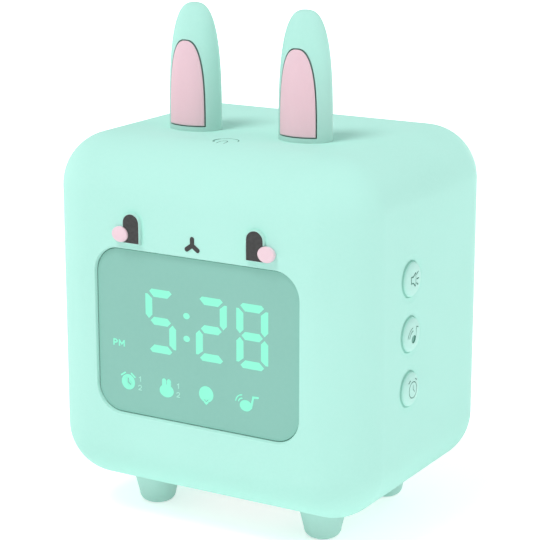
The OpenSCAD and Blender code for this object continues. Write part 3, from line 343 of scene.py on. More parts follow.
def lit_plastic(name, base, glow):
    """A printed shape with light behind it that is a little uneven."""
    f = Finish(name, darker(base, glow), 0.45, Specular_IOR_Level=0.3)
    f.set("Emission Strength", glow)
    mix = f.node("ShaderNodeMix", data_type="RGBA")
    f.link(f.spread(f.noise(5, 2), 0, 1), mix.inputs["Factor"])
    mix.inputs[MIX_A].default_value = (*base, 1)
    mix.inputs[MIX_B].default_value = (*darker(base, 0.05), 1)
    f.link(mix.outputs[MIX_OUT], f.shader.inputs["Emission Color"])
    return f.relief(f.noise(0.4, 2), 0.003).material


def metal(name, base, rough=0.3, stretch=(1, 1, 1)):
    """Plated or brushed metal with fine tool marks."""
    f = Finish(name, base, rough, Metallic=1.0)
    f.mottle(f.noise(2.5, 4), darker(base, 0.15)).uneven(f.noise(0.6, 5, stretch), 0.12)
    return f.relief(f.noise(0.25, 3, stretch), 0.003).material


def circuit_board(name, base, track):
    """Solder mask with fine tracks under it."""
    f = Finish(name, base, 0.34, IOR=1.5, Coat_Weight=0.25, Coat_Roughness=0.2)
    brick = f.node("ShaderNodeTexBrick")
    brick.inputs["Scale"].default_value = 1 / (6 * MM)
    brick.inputs["Mortar Size"].default_value = 0.05
    brick.inputs["Mortar Smooth"].default_value = 0.2
    f.link(f.place, brick.inputs["Vector"])
    f.mottle(brick.outputs["Fac"], track, 0.7).mottle(f.noise(0.5, 3), darker(base, 0.2), 0.4)
    return f.uneven(f.noise(2, 3), 0.08).relief(brick.outputs["Fac"], 0.03).material


def paper(name, base):
    """Pressed paper pulp with fibres that stand up a little."""
    f = Finish(name, base, 0.85, Sheen_Weight=0.1)
    f.mottle(f.noise(0.35, 6), paler(base, 0.12)).relief(f.noise(0.3, 6), 0.05)
    return f.uneven(f.noise(1, 3), 0.05).material


def phosphor(name, base):
    """Yellow resin of a light-emitting chip."""
    f = Finish(
        name, base, 0.2, Coat_Weight=0.5, Coat_Roughness=0.1, Subsurface_Weight=0.3, Subsurface_Scale=MM,
    )
    return f.mottle(f.noise(0.3, 4), darker(base, 0.2)).relief(f.noise(0.5, 2), 0.01).material


MATERIALS = {}


def make_finishes():
    c = {name: tuple(getattr(colours(), name)) for name in ClockColours.__annotations__}
    MATERIALS.update(
        mint_silicone=silicone("sleeve silicone", c["mint"]),
        # Painted shade: the ears get the sleeve's mint painted 4 % darker all over, and darker still
        # towards their foot
        ear_silicone=ear_silicone("ear silicone", darker(c["mint"], 0.04), c["ear_foot"]),
        # Painted sheen: the keys get a paler copy of the sleeve's mint
        key_silicone=silicone("key silicone", c["key"], 0.55),
        # Painted shade: the feet's silicone is a darker copy of the sleeve's mint
        foot_silicone=silicone("foot silicone", c["foot"], 0.5),
        # Painted shade: the pads' pink is painted darker towards the ears' foot
        pink_silicone=ear_silicone("ear pad silicone", c["pink"], c["pink_foot"]),
        cheek_silicone=silicone("cheek silicone", c["cheek"], 0.45),
        charcoal_silicone=silicone("eye silicone", c["charcoal"], 0.5),
        # Painted shade: a darker silicone for the groove round the ear pads
        joint_silicone=silicone("silicone in a joint", c["joint"], 0.7),
        # Painted shade: a darker silicone for the crease round each key
        crease_silicone=silicone("silicone in a crease", c["crease"], 0.65),
        # Painted shade: a darker silicone for the faces of pressed signs and the touch mark
        pressed_silicone=silicone("pressed silicone", c["pressed"], 0.65),
        # Painted shade: a darker copy of the sleeve's mint for the window's rim
        rim_silicone=silicone("silicone of the window's rim", c["rim"], 0.65),
        window_plastic=window_plastic("tinted window", c["window"]),
        # Painted shade: the window's edge in its joint gets a darker copy of the window's plastic
        edge_plastic=window_plastic("edge of the window", c["pane_edge"]),
        lit_plastic=lit_plastic("lit print", c["lit"], 0.6),
        dim_plastic=lit_plastic("faint print", c["dim"], 0.3),
        milky_plastic=hard_plastic("milky plastic", c["milky"]),
        black_plastic=hard_plastic("black resin", tint(40, 40, 42), 0.4, 0.3),
        white_board=circuit_board("white light board", tint(240, 242, 238), tint(214, 218, 212)),
        circuit_board=circuit_board("green circuit board", tint(22, 96, 62), tint(48, 132, 92)),
        led_yellow=phosphor("yellow phosphor", tint(250, 226, 130)),
        film_amber=hard_plastic("amber film", tint(206, 134, 52), 0.25, 1.5),
        copper_foil=metal("copper foil", tint(214, 142, 96), 0.35),
        bright_steel=metal("nickel-plated steel", tint(206, 206, 210), 0.28, (1, 1, 12)),
        cell_wrap=hard_plastic("battery sleeve", tint(66, 104, 168), 0.3, 2),
        cone_paper=paper("speaker paper", tint(58, 58, 62)),
        ferrite=hard_plastic("ferrite", tint(62, 62, 66), 0.6, 0.25),
    )


def dress(obj, slot, finish=None):
    """Gives a piece its material."""
    obj.data.materials.clear()
    obj.data.materials.append(MATERIALS[finish or slot])
    obj.data.polygons.foreach_set("material_index", [0] * len(obj.data.polygons))
    return obj


def shade_faces(obj, finish, rule):
    """Gives the faces for which the rule holds, by their middle and normal, another finish."""
    obj.data.materials.append(MATERIALS[finish])
    for poly in obj.data.polygons:
        if rule(poly.center / MM, poly.normal):
            poly.material_index = len(obj.data.materials) - 1
    return obj


def repaint(slot, *names):
    """Gives carried-over nodes their material."""
    for name in names:
        node = NODES[name]
        for place in node.material_slots:
            place.material = MATERIALS[slot]


# ---------------- shapes


def add(name, data):
    """A new object in the scene."""
    obj = bpy.data.objects.new(name, data)
    bpy.context.scene.collection.objects.link(obj)
    return obj


def mesh_object(name, points, faces):
    mesh = bpy.data.meshes.new(name)
    mesh.from_pydata([Vector(p) * MM for p in points], [], faces)
    obj = add(name, mesh)
    tidy(obj)
    return obj


def tidy(obj, weld=0.0005):
    """Welds the mesh, turns its faces outwards and shades it smooth but for its sharp edges."""
    bm = bmesh.new()
    bm.from_mesh(obj.data)
    bmesh.ops.remove_doubles(bm, verts=bm.verts, dist=weld * MM)
    bmesh.ops.recalc_face_normals(bm, faces=bm.faces)
    bm.to_mesh(obj.data)
    bm.free()
    soften(obj)


def soften(obj):
    obj.data.shade_smooth()
    obj.data.set_sharp_from_angle(angle=math.radians(SHARP_TURN))


def loft(name, rings, tip=None):
    """A closed skin through rings of equal count, capped flat or, at its end, to a point."""
    n = len(rings[0])
    points = [p for ring in rings for p in ring]
    faces = [
        (i * n + j, i * n + (j + 1) % n, (i + 1) * n + (j + 1) % n, (i + 1) * n + j)
        for i in range(len(rings) - 1) for j in range(n)
    ]
    faces.append(tuple(range(n)))
    last = [len(points) - n + j for j in range(n)]
    if tip is None:
        faces.append(tuple(last))
    else:
        faces += [(a, b, len(points)) for a, b in zip(last, last[1:] + last[:1])]
        points.append(tip)
    return mesh_object(name, points, faces)


def hoop(name, rings):
    """A closed band through rings of equal count, the last joined to the first."""
    n, m = len(rings[0]), len(rings)
    faces = [
        (i * n + j, i * n + (j + 1) % n, (i + 1) % m * n + (j + 1) % n, (i + 1) % m * n + j)
        for i in range(m) for j in range(n)
    ]
    return mesh_object(name, [p for ring in rings for p in ring], faces)


def ellipse(cx, cy, rx, ry, steps=48):
    turns = [math.tau * i / steps for i in range(steps)]
    return [(cx + rx * math.cos(t), cy + ry * math.sin(t)) for t in turns]


def circle(cx, cy, r):
    return ellipse(cx, cy, r, r, ROUND_STEPS)


def angles(first, last, step):
    """Angles from the first to the last degree, in radians."""
    return [math.radians(a) for a in range(first, last + 1, step)]


def arc(cx, cy, r, a, b, steps=16):
    """Points from the angle a to the angle b, in degrees."""
    turns = [math.radians(a + (b - a) * i / steps) for i in range(steps + 1)]
    return [(cx + r * math.cos(t), cy + r * math.sin(t)) for t in turns]


def stroke(points, width):
    """Outline of a line of one width, with round ends."""
    pts = [Vector(p) for p in points]
    r = width / 2
    sharpest, end_steps = 0.4, 8
    sides = ([], [])
    for i, p in enumerate(pts):
        runs = [(b - a).normalized() for a, b in zip(pts[max(i - 1, 0):i + 1], pts[max(i, 1):i + 2])]
        run = sum(runs, Vector((0, 0))).normalized()
        across = Vector((-run.y, run.x))
        reach = r / max(across.dot(Vector((-runs[0].y, runs[0].x))), sharpest)
        sides[0].append(p + across * reach)
        sides[1].append(p - across * reach)
    last = math.atan2(*(sides[0][-1] - pts[-1]).yx)
    first = math.atan2(*(sides[1][0] - pts[0]).yx)
    steps = [math.pi * k / end_steps for k in range(1, end_steps)]
    caps = [
        [end + r * Vector((math.cos(turn - k), math.sin(turn - k))) for k in steps]
        for end, turn in ((pts[-1], last), (pts[0], first))
    ]
    return [tuple(p) for p in sides[0] + caps[0] + sides[1][::-1] + caps[1]]


def line(width, *points):
    """Outline of a line from point to point."""
    return stroke(points, width)


def ring(cx, cy, r, width):
    """A ring as two half rings that overlap by ten degrees."""
    return [stroke(arc(cx, cy, r, a, a + 190), width) for a in (0, 180)]


def prism(name, outline, low, high, place):
    """A solid between two heights over an outline. place turns (u, v, w) into the clock's frame."""
    n = len(outline)
    points = [place(u, v, w) for w in (low, high) for u, v in outline]
    faces = [tuple(range(n)), tuple(range(n, 2 * n))]
    faces += [(j, (j + 1) % n, n + (j + 1) % n, n + j) for j in range(n)]
    return mesh_object(name, points, faces)


def join(objs):
    """One object that holds all the meshes."""
    bm = bmesh.new()
    for obj in objs:
        bm.from_mesh(obj.data)
    mesh = bpy.data.meshes.new(objs[0].name)
    bm.to_mesh(mesh)
    bm.free()
    whole = add(objs[0].name, mesh)
    for obj in objs:
        bpy.data.objects.remove(obj)
    return whole


def combine(obj, tool, operation):
    """Joins a tool to an object, or cuts it out, and leaves only the result."""
    change = obj.modifiers.new("combine", "BOOLEAN")
    change.object = tool
    change.operation = operation
    change.solver = "EXACT"
    change.use_self = True
    bpy.context.view_layer.update()
    done = bpy.data.meshes.new_from_object(obj.evaluated_get(bpy.context.evaluated_depsgraph_get()))
    obj.modifiers.clear()
    obj.data = done
    bpy.data.objects.remove(tool)
    return obj


def fused(name, outlines, low, high, place):
    """One clean solid from outlines that may overlap."""
    parts = [prism(f"{name}_{i}", o, low, high, place) for i, o in enumerate(outlines)]
    whole = parts[0]
    if len(parts) > 1:
        combine(whole, join(parts[1:]), "UNION")
    whole.name = name
    return whole


def aim_normals(obj, rule):
    """Sets the shading of each corner from a rule on its place and its face, where it gives one."""
    mesh = obj.data
    normals = [Vector(n.vector) for n in mesh.corner_normals]
    for poly in mesh.polygons:
        for i in poly.loop_indices:
            normals[i] = rule(mesh.vertices[mesh.loops[i].vertex_index].co / MM, poly) or normals[i]
    mesh.normals_split_custom_set(normals)


# ---------------- frames on the clock's faces


def on_face(u, v, w):
    """u to the right and v up from the body's underside, w out of the sleeve's face."""
    return Vector((u, FACE_Y - w, BODY_Z + v))


def on_window(u, v, w):
    """u to the right and v up from the body's underside, w out of the window."""
    return Vector((u, WINDOW_Y - w, BODY_Z + v))


def on_top(u, v, w):
    """u to the right and v to the back, w out of the top."""
    return Vector((u, v, TOP_Z + w))


def on_side(side):
    """v up from the body's underside and u to the right as one looks at that side, w out of it."""
    return lambda u, v, w: Vector((side * (SIDE_X + w), KEY_Y + side * u, BODY_Z + v))


def on_back(u, v, w):
    """v up from the body's underside, w out of the back."""
    return Vector((u, BACK_Y + w, BODY_Z + v))


def on_base(u, v, w):
    """v to the back from the body's middle, w out of the underside."""
    return Vector((u, MID_Y + v, BODY_Z - w))


# ---------------- sleeve


def rounded_rectangle(middle, w, h, r, grow):
    """Outline of a rounded rectangle at a height, grown all round."""
    r += grow
    x, y = w / 2 + grow - r, h / 2 + grow - r
    corners = ((x, y, 0), (-x, y, 90), (-x, -y, 180), (x, -y, 270))
    return [p for sx, sy, a in corners for p in arc(sx, middle + sy, r, a, a + 90, steps=12)]


def copy_of(node, name):
    """A copy of a solid that can be reworked."""
    obj = NODES[node].copy()
    obj.data = obj.data.copy()
    obj.name = name
    bpy.context.scene.collection.objects.link(obj)
    tidy(obj, weld=0.001)
    return obj


def rim_tool(name, middle, w, h, corner, place, r):
    """Cuts a rounded edge round the opening for a piece of width w and height h."""
    over = 0.1
    levels = [(OVER, r), (0.0, r)]
    levels += [(r * (math.cos(t) - 1), r * (1 - math.sin(t))) for t in angles(10, 80, 10)]
    levels.append((-r - over, -2 * over))
    gaps = 2 * OPENING_GAP
    return loft(name, [
        [place(u, v, out) for u, v in
         rounded_rectangle(middle, w + gaps, h + gaps, corner + OPENING_GAP, grow)]
        for out, grow in levels
    ])


def turned(name, profile, place, middle):
    """A turned solid on a face, from a profile of heights and radii."""
    return loft(name, [[place(u, v, w) for u, v in circle(0, middle, r)] for w, r in profile])


def block_normal(p, poly):
    """The rounded block's own normal, for corners of faces that lie on it."""
    core = Vector((SIDE_X - CORNER_R, (BACK_Y - FACE_Y) / 2 - CORNER_R, (TOP_Z - BODY_Z) / 2 - CORNER_R))
    q = p - Vector((0, MID_Y, (TOP_Z + BODY_Z) / 2))
    out = Vector(tuple(a - max(-c, min(c, a)) for a, c in zip(q, core)))
    if abs(out.length - CORNER_R) > NEAR_BLOCK:
        return None
    out.normalize()
    return out if out.dot(poly.normal) > ALIKE else None


def window_reach(p):
    """How far a point lies from the middles of the window's corner roundings, in the window's plane."""
    x, z = (abs(p[i] - WINDOW_MIDDLE[i]) - WINDOW_SPAN[i] / 2 for i in (0, 2))
    return math.hypot(max(x + WINDOW_R, 0), max(z + WINDOW_R, 0))


# The touch mark, a finger with a ring round its tip, in millimetres on the top
MARK_X, MARK_Y = 0.3, MID_Y - 24.8
MARK_HALF_X, MARK_HALF_Y = 5, 6
RING_R = 3.4
TOUCH_MARK = [
    stroke(arc(MARK_X, MARK_Y, RING_R, 8, 221, 40), 0.36),
    stroke(arc(MARK_X, MARK_Y, RING_R, 150, 221, 20), 0.6),
    line(0.3, (-0.8, MARK_Y - 5.9), (-0.8, MARK_Y - 1.2), (-0.4, MARK_Y - 0.6)),
    line(0.3, (1.4, MARK_Y - 5.9), (1.4, MARK_Y - 1.2), (1.0, MARK_Y - 0.6)),
    stroke(arc(MARK_X, MARK_Y - 0.7, 0.75, 10, 170, 10), 0.3),
]


class CLOCK_OT_sleeve(bpy.types.Operator):
    """Makes the silicone sleeve with rounded openings and the touch mark on its top"""
    bl_idname = "clock.sleeve"
    bl_label = "Sleeve"

    def execute(self, context):
        rim, lip, depth = sizes("rim_round", "window_round", "mark_depth")
        dish, wide = sizes("dish_depth", "dish_width")
        dish_steps, dish_inset = 8, 0.4
        flat, upright, lip_share = 0.9999, 0.1, 0.9
        sleeve = copy_of("silicone_sleeve", "sleeve")
        panel_low, panel_high = box_mm("rear_panel")
        plate_low, plate_high = box_mm("base_plate")
        window_v = WINDOW_MIDDLE.z - BODY_Z
        panel_v = (panel_low.z + panel_high.z) / 2 - BODY_Z
        panel_h = panel_high.z - panel_low.z
        plate_h = plate_high.y - plate_low.y
        tools = [
            rim_tool("window_rim", window_v, WINDOW_SPAN.x, WINDOW_SPAN.z, WINDOW_R, on_face, lip),
            rim_tool("panel_rim", panel_v, panel_high.x * 2, panel_h, PANEL_R, on_back, rim),
            rim_tool("base_rim", 0, plate_high.x * 2, plate_h, PLATE_R, on_base, rim),
        ]
        levels = [(OVER, wide), (0.0, wide)]
        for k in range(1, dish_steps + 1):
            fall = (1 - math.cos(math.pi * k / dish_steps)) / 2
            levels.append((-dish * fall, wide * (1 - k / dish_steps)))
        levels.append((-dish, -dish_inset))
        profile = [(out, KEY_HOLE + grow) for out, grow in levels]
        for name, side in KEYS.items():
            low, high = box_mm(name)
            tools.append(turned(f"{name}_dish", profile, on_side(side), (low.z + high.z) / 2 - BODY_Z))
        tools += [prism(f"mark_{i}", m, -depth, OVER, on_top) for i, m in enumerate(TOUCH_MARK)]
        combine(sleeve, join(tools), "DIFFERENCE")
        soften(sleeve)
        aim_normals(sleeve, block_normal)
        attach(dress(sleeve, "mint_silicone"), "clock")

        # Painted shade: the faces of the touch mark pressed into the top get the darker silicone
        def in_mark(p, normal):
            near = abs(p.x) < MARK_HALF_X and abs(p.y - MARK_Y + 1) < MARK_HALF_Y
            below = TOP_Z - depth - SLACK < p.z < TOP_Z - 2 * SLACK
            return near and below and (normal.z > flat or abs(normal.z) < upright)

        # Painted shade: the rounding round the window's opening gets the darker silicone
        def in_rim(p, normal):
            past = window_reach(p) - WINDOW_R
            within = FACE_Y - SLACK < p.y < FACE_Y + lip + OPENING_GAP
            return 0 < past < lip_share * lip and within and normal.y < -upright

        shade_faces(sleeve, "pressed_silicone", in_mark)
        shade_faces(sleeve, "rim_silicone", in_rim)
        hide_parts("silicone_sleeve")
        repaint("milky_plastic", "base_plate")
        # The feet get the sleeve's mint with painted shade
        repaint("foot_silicone", *(n for n in NODES if n.startswith("foot_")))
        return {"FINISHED"}


# ---------------- ears


EAR_STEPS = 56
# Heights and radii of the stem under an ear
EAR_STEM = ((-7.0, 3.5), (-4.6, 5.2), (-4.6, 4.0), (0.0, 4.0))


def ear_share(t):
    """An ear's width at a share of its height, as a share of its full width."""
    return (1 - min(t, 1) ** EAR_STRAIGHT) ** (1 / EAR_BLUNT)


def ear_normal(p):
    """The form's own normal at a point of an ear, from the middle of its foot."""
    highest = 0.9999
    t = max(min(p.z / EAR_TIP, highest), 0)
    slope = EAR_STRAIGHT / EAR_BLUNT * t ** (EAR_STRAIGHT - 1) / EAR_TIP
    fall = (1 - t ** EAR_STRAIGHT) ** (2 / EAR_BLUNT - 1) * slope
    return Vector((p.x / EAR_W ** 2, p.y / EAR_T ** 2, fall)).normalized()


def ear_depth(p):
    """How deep a point lies under an ear's form, from the middle of its foot."""
    return (ear_share(p.z / EAR_TIP) - math.hypot(p.x / EAR_W, p.y / EAR_T)) * EAR_T


def ear_front(x, z):
    """Point of an ear's front and the normal there, from the middle of its foot."""
    inside = 0.995
    share = ear_share(z / EAR_TIP)
    limit = inside * share * EAR_W
    x = max(-limit, min(limit, x))
    point = Vector((x, -EAR_T * math.sqrt(max(share ** 2 - (x / EAR_W) ** 2, 0)), z))
    return point, ear_normal(point)


def over_ear(foot, rows, height):
    """Points over an ear's front for rows of (x, z), each as far out as height says."""
    grid = []
    for row in rows:
        fronts = [ear_front(*p) for p in row]
        grid.append([foot + point + normal * height(p) for (point, normal), p in zip(fronts, row)])
    return grid


def pad_rows(grow, rows, columns):
    """Rows of (x, z) over a pad's outline, closest together at its edges."""
    low = PAD_Z / PAD_TIP
    for i in range(rows + 1):
        share = (1 - math.cos(math.pi * i / rows)) / 2
        t = low + (1 - low) * share
        half = PAD_W * (1 - t ** PAD_STRAIGHT) ** (1 / PAD_BLUNT) + grow
        z = t * PAD_TIP - grow + 2 * grow * share
        yield [(half * math.sin(math.pi / 2 * k / columns), z) for k in range(-columns, columns + 1)]


def grid_solid(name, front, back):
    """A closed solid between two grids of points of the same size."""
    rows, columns = len(front), len(front[0])
    points = [p for grid in (front, back) for row in grid for p in row]
    at = lambda g, i, j: (g * rows + i) * columns + j
    faces = [
        (at(g, i, j), at(g, i, j + 1), at(g, i + 1, j + 1), at(g, i + 1, j))
        for g in (0, 1) for i in range(rows - 1) for j in range(columns - 1)
    ]
    edge = [(0, j) for j in range(columns)] + [(i, columns - 1) for i in range(1, rows)]
    edge += [(rows - 1, j) for j in range(columns - 2, -1, -1)] + [(i, 0) for i in range(rows - 2, 0, -1)]
    for a, b in zip(edge, edge[1:] + edge[:1]):
        faces.append((at(0, *a), at(0, *b), at(1, *b), at(1, *a)))
    return mesh_object(name, points, faces)


def edge_distance(p, outline):
    """Distance of a point from a closed outline."""
    best = math.inf
    for a, b in zip(outline, outline[1:] + outline[:1]):
        run = b - a
        k = max(0, min(1, (p - a).dot(run) / max(run.length_squared, TINY)))
        best = min(best, (p - a - run * k).length)
    return best


class CLOCK_OT_ears(bpy.types.Operator):
    """Makes the two ears with their pads"""
    bl_idname = "clock.ears"
    bl_label = "Ears"

    def execute(self, context):
        gap, pocket, proud, r = sizes("pad_gap", "pad_pocket", "pad_proud", "pad_round")
        pocket_low, pocket_high, pocket_wall = 0.2, PAD_TIP + 1, 0.06
        pad_seat, pad_turn = 0.02, 0.35
        rows = list(pad_rows(0.0, rows=56, columns=20))
        wide = list(pad_rows(gap, rows=40, columns=14))
        outline = [Vector(row[-1]) for row in rows] + [Vector(row[0]) for row in rows[::-1]]
        lift = {}
        for p in (p for row in rows for p in row):
            inset = max(r - edge_distance(Vector(p), outline), 0)
            lift[p] = proud - r + math.sqrt(max(r * r - inset ** 2, 0))
        for side, word in ((-1, "left"), (1, "right")):
            foot = Vector((side * EAR_X, EAR_Y, TOP_Z))
            rings = [[foot + Vector((*p, z)) for p in circle(0, 0, stem)] for z, stem in EAR_STEM]
            for i in range(EAR_STEPS):
                t = math.sin(math.pi / 2 * i / EAR_STEPS)
                share = ear_share(t)
                level = ellipse(0, 0, EAR_W * share, EAR_T * share, ROUND_STEPS)
                rings.append([foot + Vector((*p, EAR_TIP * t)) for p in level])
            ear = loft(f"ear_shell_{word}", rings, tip=foot + Vector((0, 0, EAR_TIP)))
            hollow = grid_solid(
                "pocket", over_ear(foot, wide, lambda p: 1), over_ear(foot, wide, lambda p: -pocket)
            )
            combine(ear, hollow, "DIFFERENCE")
            soften(ear)

            def shell(p, poly):
                q = p - foot
                if q.z < SLACK:
                    return None
                normal = ear_normal(q)
                on_form = abs(ear_depth(q)) < NEAR_EAR and normal.dot(poly.normal) > ALIKE
                return normal if q.z > pocket_high or on_form else None

            # Painted shade: the walls and floor of the pocket round a pad get the darker silicone
            def in_pocket(p, normal):
                q = p - foot
                return pocket_low <= q.z <= pocket_high and q.y <= 0 and ear_depth(q) > pocket_wall

            aim_normals(ear, shell)
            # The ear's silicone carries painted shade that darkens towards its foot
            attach(dress(ear, "mint_silicone", "ear_silicone"), "clock")
            shade_faces(ear, "joint_silicone", in_pocket)
            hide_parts(f"ear_{word}")
            back = over_ear(foot, rows, lambda p: pad_seat - pocket)
            pad = grid_solid(f"ear_pad_{word}", over_ear(foot, rows, lift.get), back)
            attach(dress(pad, "pink_silicone"), "clock")
            # Painted shade: the pad's own side walls in the groove get the darker silicone too
            shade_faces(pad, "joint_silicone", lambda p, n: n.dot(ear_normal(p - foot)) < pad_turn)
            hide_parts(f"inner_ear_{word}")
        return {"FINISHED"}


# ---------------- face


class CLOCK_OT_face(bpy.types.Operator):
    """Makes the cheeks and gives the eyes and the nose their finish"""
    bl_idname = "clock.face"
    bl_label = "Face"

    def execute(self, context):
        (r,) = sizes("cheek_round")
        crown, crown_reach, tuck, side_steps = 0.12, 0.96, 0.2, 4
        for word in ("left", "right"):
            low, high = box_mm(f"cheek_{word}")
            middle = (low + high) / 2
            w, h = (high.x - low.x) / 2, (high.z - low.z) / 2
            proud = FACE_Y - low.y
            shoulder = proud - crown - r
            levels = [(-SLACK, tuck)]
            for k in range(1, side_steps):
                inset = tuck * (1 - math.sin(math.pi / 2 * k / side_steps))
                levels.append((shoulder * k / side_steps, inset))
            levels += [(shoulder + r * math.sin(t), r * (1 - math.cos(t))) for t in angles(0, 90, 9)]
            for k in (0.3, 0.6, 1.0):
                levels.append((proud - crown * (1 - k) ** 2, r + k * (h - r) * crown_reach))
            cheek = loft(f"cheek_pad_{word}", [
                [Vector((middle.x + u, FACE_Y - out, middle.z + v))
                 for u, v in ellipse(0, 0, w - inset, h - inset)]
                for out, inset in levels
            ])
            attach(dress(cheek, "cheek_silicone"), "clock")
            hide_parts(f"cheek_{word}")
        repaint("charcoal_silicone", "eye_left", "eye_right", "nose")
        return {"FINISHED"}


# ---------------- display

# Shapes on the window, in millimetres from the middle of the clock and from the body's underside
ALARM_LIT = [
    ellipse(-22.48, 32.48, 2.22, 2.22), line(0.5, (-24.75, 34.2), (-23.5, 35.05)),
    line(0.5, (-21.4, 35.05), (-20.25, 34.15)),
]
ALARM_DARK = [line(0.37, (-22.48, 33.5), (-22.48, 32.42), (-21.74, 31.9))]
RABBIT_LIT = [
    ellipse(-9.78, 31.93, 2.3, 1.85), line(1.35, (-10.56, 32.6), (-10.56, 34.73)),
    line(1.35, (-9.0, 32.6), (-9.0, 34.73)),
]
BALLOON_LIT = [
    ellipse(3.07, 33.07, 2.3, 2.3), [(2.3, 30.72), (3.07, 30.02), (3.84, 30.72), (3.07, 31.1)],
]
BALLOON_DARK = [line(0.22, (2.55, 31.42), (3.07, 31.02), (3.59, 31.42))]
NOTE_LIT = [
    ellipse(15.63, 31.96, 1.9, 1.58), line(0.62, (17.3, 31.6), (17.95, 34.65), (19.4, 34.75)),
    stroke(arc(14.56, 32.7, 2.1, 95, 172), 0.34), stroke(arc(14.56, 32.7, 1.2, 95, 168), 0.34),
]


def figure_one(x, z, h):
    """A small 1 on the window."""
    return [line(0.28, (x - 0.3, z + h * 0.76), (x + 0.12, z + h), (x + 0.12, z))]


def figure_two(x, z, w, h):
    """A small 2 on the window."""
    turns = [math.radians(a) for a in range(170, -41, -15)]
    bend = [(x + w / 2 * (1 + math.cos(t)), z + h * (0.7 + 0.3 * math.sin(t))) for t in turns]
    return [line(0.26, *bend, (x + 0.05, z + 0.05)), line(0.28, (x, z), (x + w, z))]


FAINT = {
    "alarm_one": figure_one(-18.5, 33.25, 1.3), "alarm_two": figure_two(-19.05, 30.75, 0.92, 1.35),
    "nap_one": figure_one(-5.95, 33.25, 1.3), "nap_two": figure_two(-6.45, 30.75, 0.92, 1.35),
}
LETTER_P = [
    line(0.42, (-27.1, 42.65), (-27.1, 44.25)),
    line(0.42, (-27.1, 44.25), (-26.5, 44.25), (-26.1, 44.05), (-25.98, 43.8), (-26.1, 43.55),
         (-26.5, 43.35), (-27.1, 43.35)),
]
LETTER_M = [
    line(0.42, (-25.25, 42.65), (-25.25, 44.2)), line(0.42, (-25.25, 44.2), (-24.45, 43.1)),
    line(0.42, (-24.45, 43.1), (-23.65, 44.2)), line(0.42, (-23.65, 44.2), (-23.65, 42.65)),
]


class CLOCK_OT_display(bpy.types.Operator):
    """Makes the window with its lit digits and signs"""
    bl_idname = "clock.display"
    bl_label = "Display"

    def execute(self, context):
        step, r = sizes("lit_step", "pane_round")
        sunk, through = 0.05, 1
        signs = {
            "alarm_sign": (ALARM_LIT, ALARM_DARK), "nap_sign": (RABBIT_LIT, None),
            "balloon_sign": (BALLOON_LIT, BALLOON_DARK), "sound_sign": (NOTE_LIT, None),
            "afternoon_p": (LETTER_P, None), "afternoon_m": (LETTER_M, None),
        }
        for name, (lit, dark) in signs.items():
            sign = fused(name, lit, -sunk, step, on_window)
            if dark:
                combine(sign, fused("dark", dark, -through, through, on_window), "DIFFERENCE")
            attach(dress(sign, "lit_plastic"), "clock")
        for name, outlines in FAINT.items():
            sign = fused(name, outlines, -sunk, step, on_window)
            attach(dress(sign, "lit_plastic", "dim_plastic"), "clock")
        pane = copy_of("display_window", "window_pane")
        section = [(-r + r * math.sin(t), -r + r * math.cos(t)) for t in angles(0, 90, 15)]
        section += [(OVER, -r), (OVER, OVER), (-r, OVER)]
        window_v = WINDOW_MIDDLE.z - BODY_Z
        edge = hoop("pane_edge", [
            [on_window(u, v, out) for u, v in
             rounded_rectangle(window_v, WINDOW_SPAN.x, WINDOW_SPAN.z, WINDOW_R, grow)]
            for out, grow in section
        ])
        combine(pane, edge, "DIFFERENCE")
        soften(pane)
        front, flat, turned_away = Vector((0, -1, 0)), 0.999, 0.98
        aim_normals(pane, lambda p, poly: front if poly.normal.dot(front) > flat else None)
        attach(dress(pane, "window_plastic"), "clock")

        # Painted shade: the faces of the window's rounded edge get the darker plastic
        def at_edge(p, normal):
            return window_reach(p) > WINDOW_R - r - SLACK and normal.dot(front) < turned_away

        shade_faces(pane, "edge_plastic", at_edge)
        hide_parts("display_window")
        repaint("lit_plastic", "time_digits", "colon_dots")
        return {"FINISHED"}


# ---------------- keys

# Signs pressed into the keys, in millimetres from a key's middle
KEY_SIGNS = {
    "volume_button": [
        line(0.34, (-2.2, 1.0), (-2.2, -0.75)), line(0.36, (-2.2, 1.0), (-1.1, 1.0), (0.2, 1.9)),
        line(0.36, (-2.2, -0.75), (-1.1, -0.75), (0.2, -1.8)), line(0.24, (0.2, 1.9), (0.2, -1.8)),
        line(0.36, (0.75, 1.35), (1.8, 1.95)), line(0.4, (0.85, 0.1), (2.0, 0.1)),
        line(0.36, (0.75, -1.05), (1.8, -1.65)),
    ],
    "sound_button": [
        ellipse(-0.2, -1.1, 1.2, 1.15), line(0.3, (0.9, -0.9), (1.45, 2.1), (2.6, 1.75)),
        stroke(arc(-0.4, -0.8, 2.1, 95, 172), 0.26), stroke(arc(-0.4, -0.8, 2.95, 97, 170), 0.26),
    ],
    "alarm_button": [
        *ring(0, -0.05, 2.25, 0.25), line(0.25, (-0.1, 1.3), (-0.05, 0.1), (0.9, -0.75)),
        line(0.34, (-2.35, 2.25), (-1.5, 2.8)), line(0.34, (1.5, 2.8), (2.35, 2.25)),
    ],
    "light_button": [
        stroke(arc(0, 0.45, 1.7, -58, 238, 30), 0.3), line(0.3, (-0.75, -1.1), (-0.75, -1.9)),
        line(0.3, (0.75, -1.1), (0.75, -1.9)), line(0.3, (-0.75, -1.9), (0.75, -1.9)),
        line(0.3, (-0.4, -2.5), (0.4, -2.5)),
    ],
    "nap_button": [
        stroke(arc(0, 0, 2.2, 62, 298, 26), 0.3),
        stroke(arc(1.35, 0, 2.05, 110, 250, 16), 0.3),
    ],
    "time_button": [
        *ring(0, 0, 2.25, 0.3), line(0.3, (0, 1.4), (0, 0)), line(0.3, (0, 0), (1.05, 0)),
    ],
}


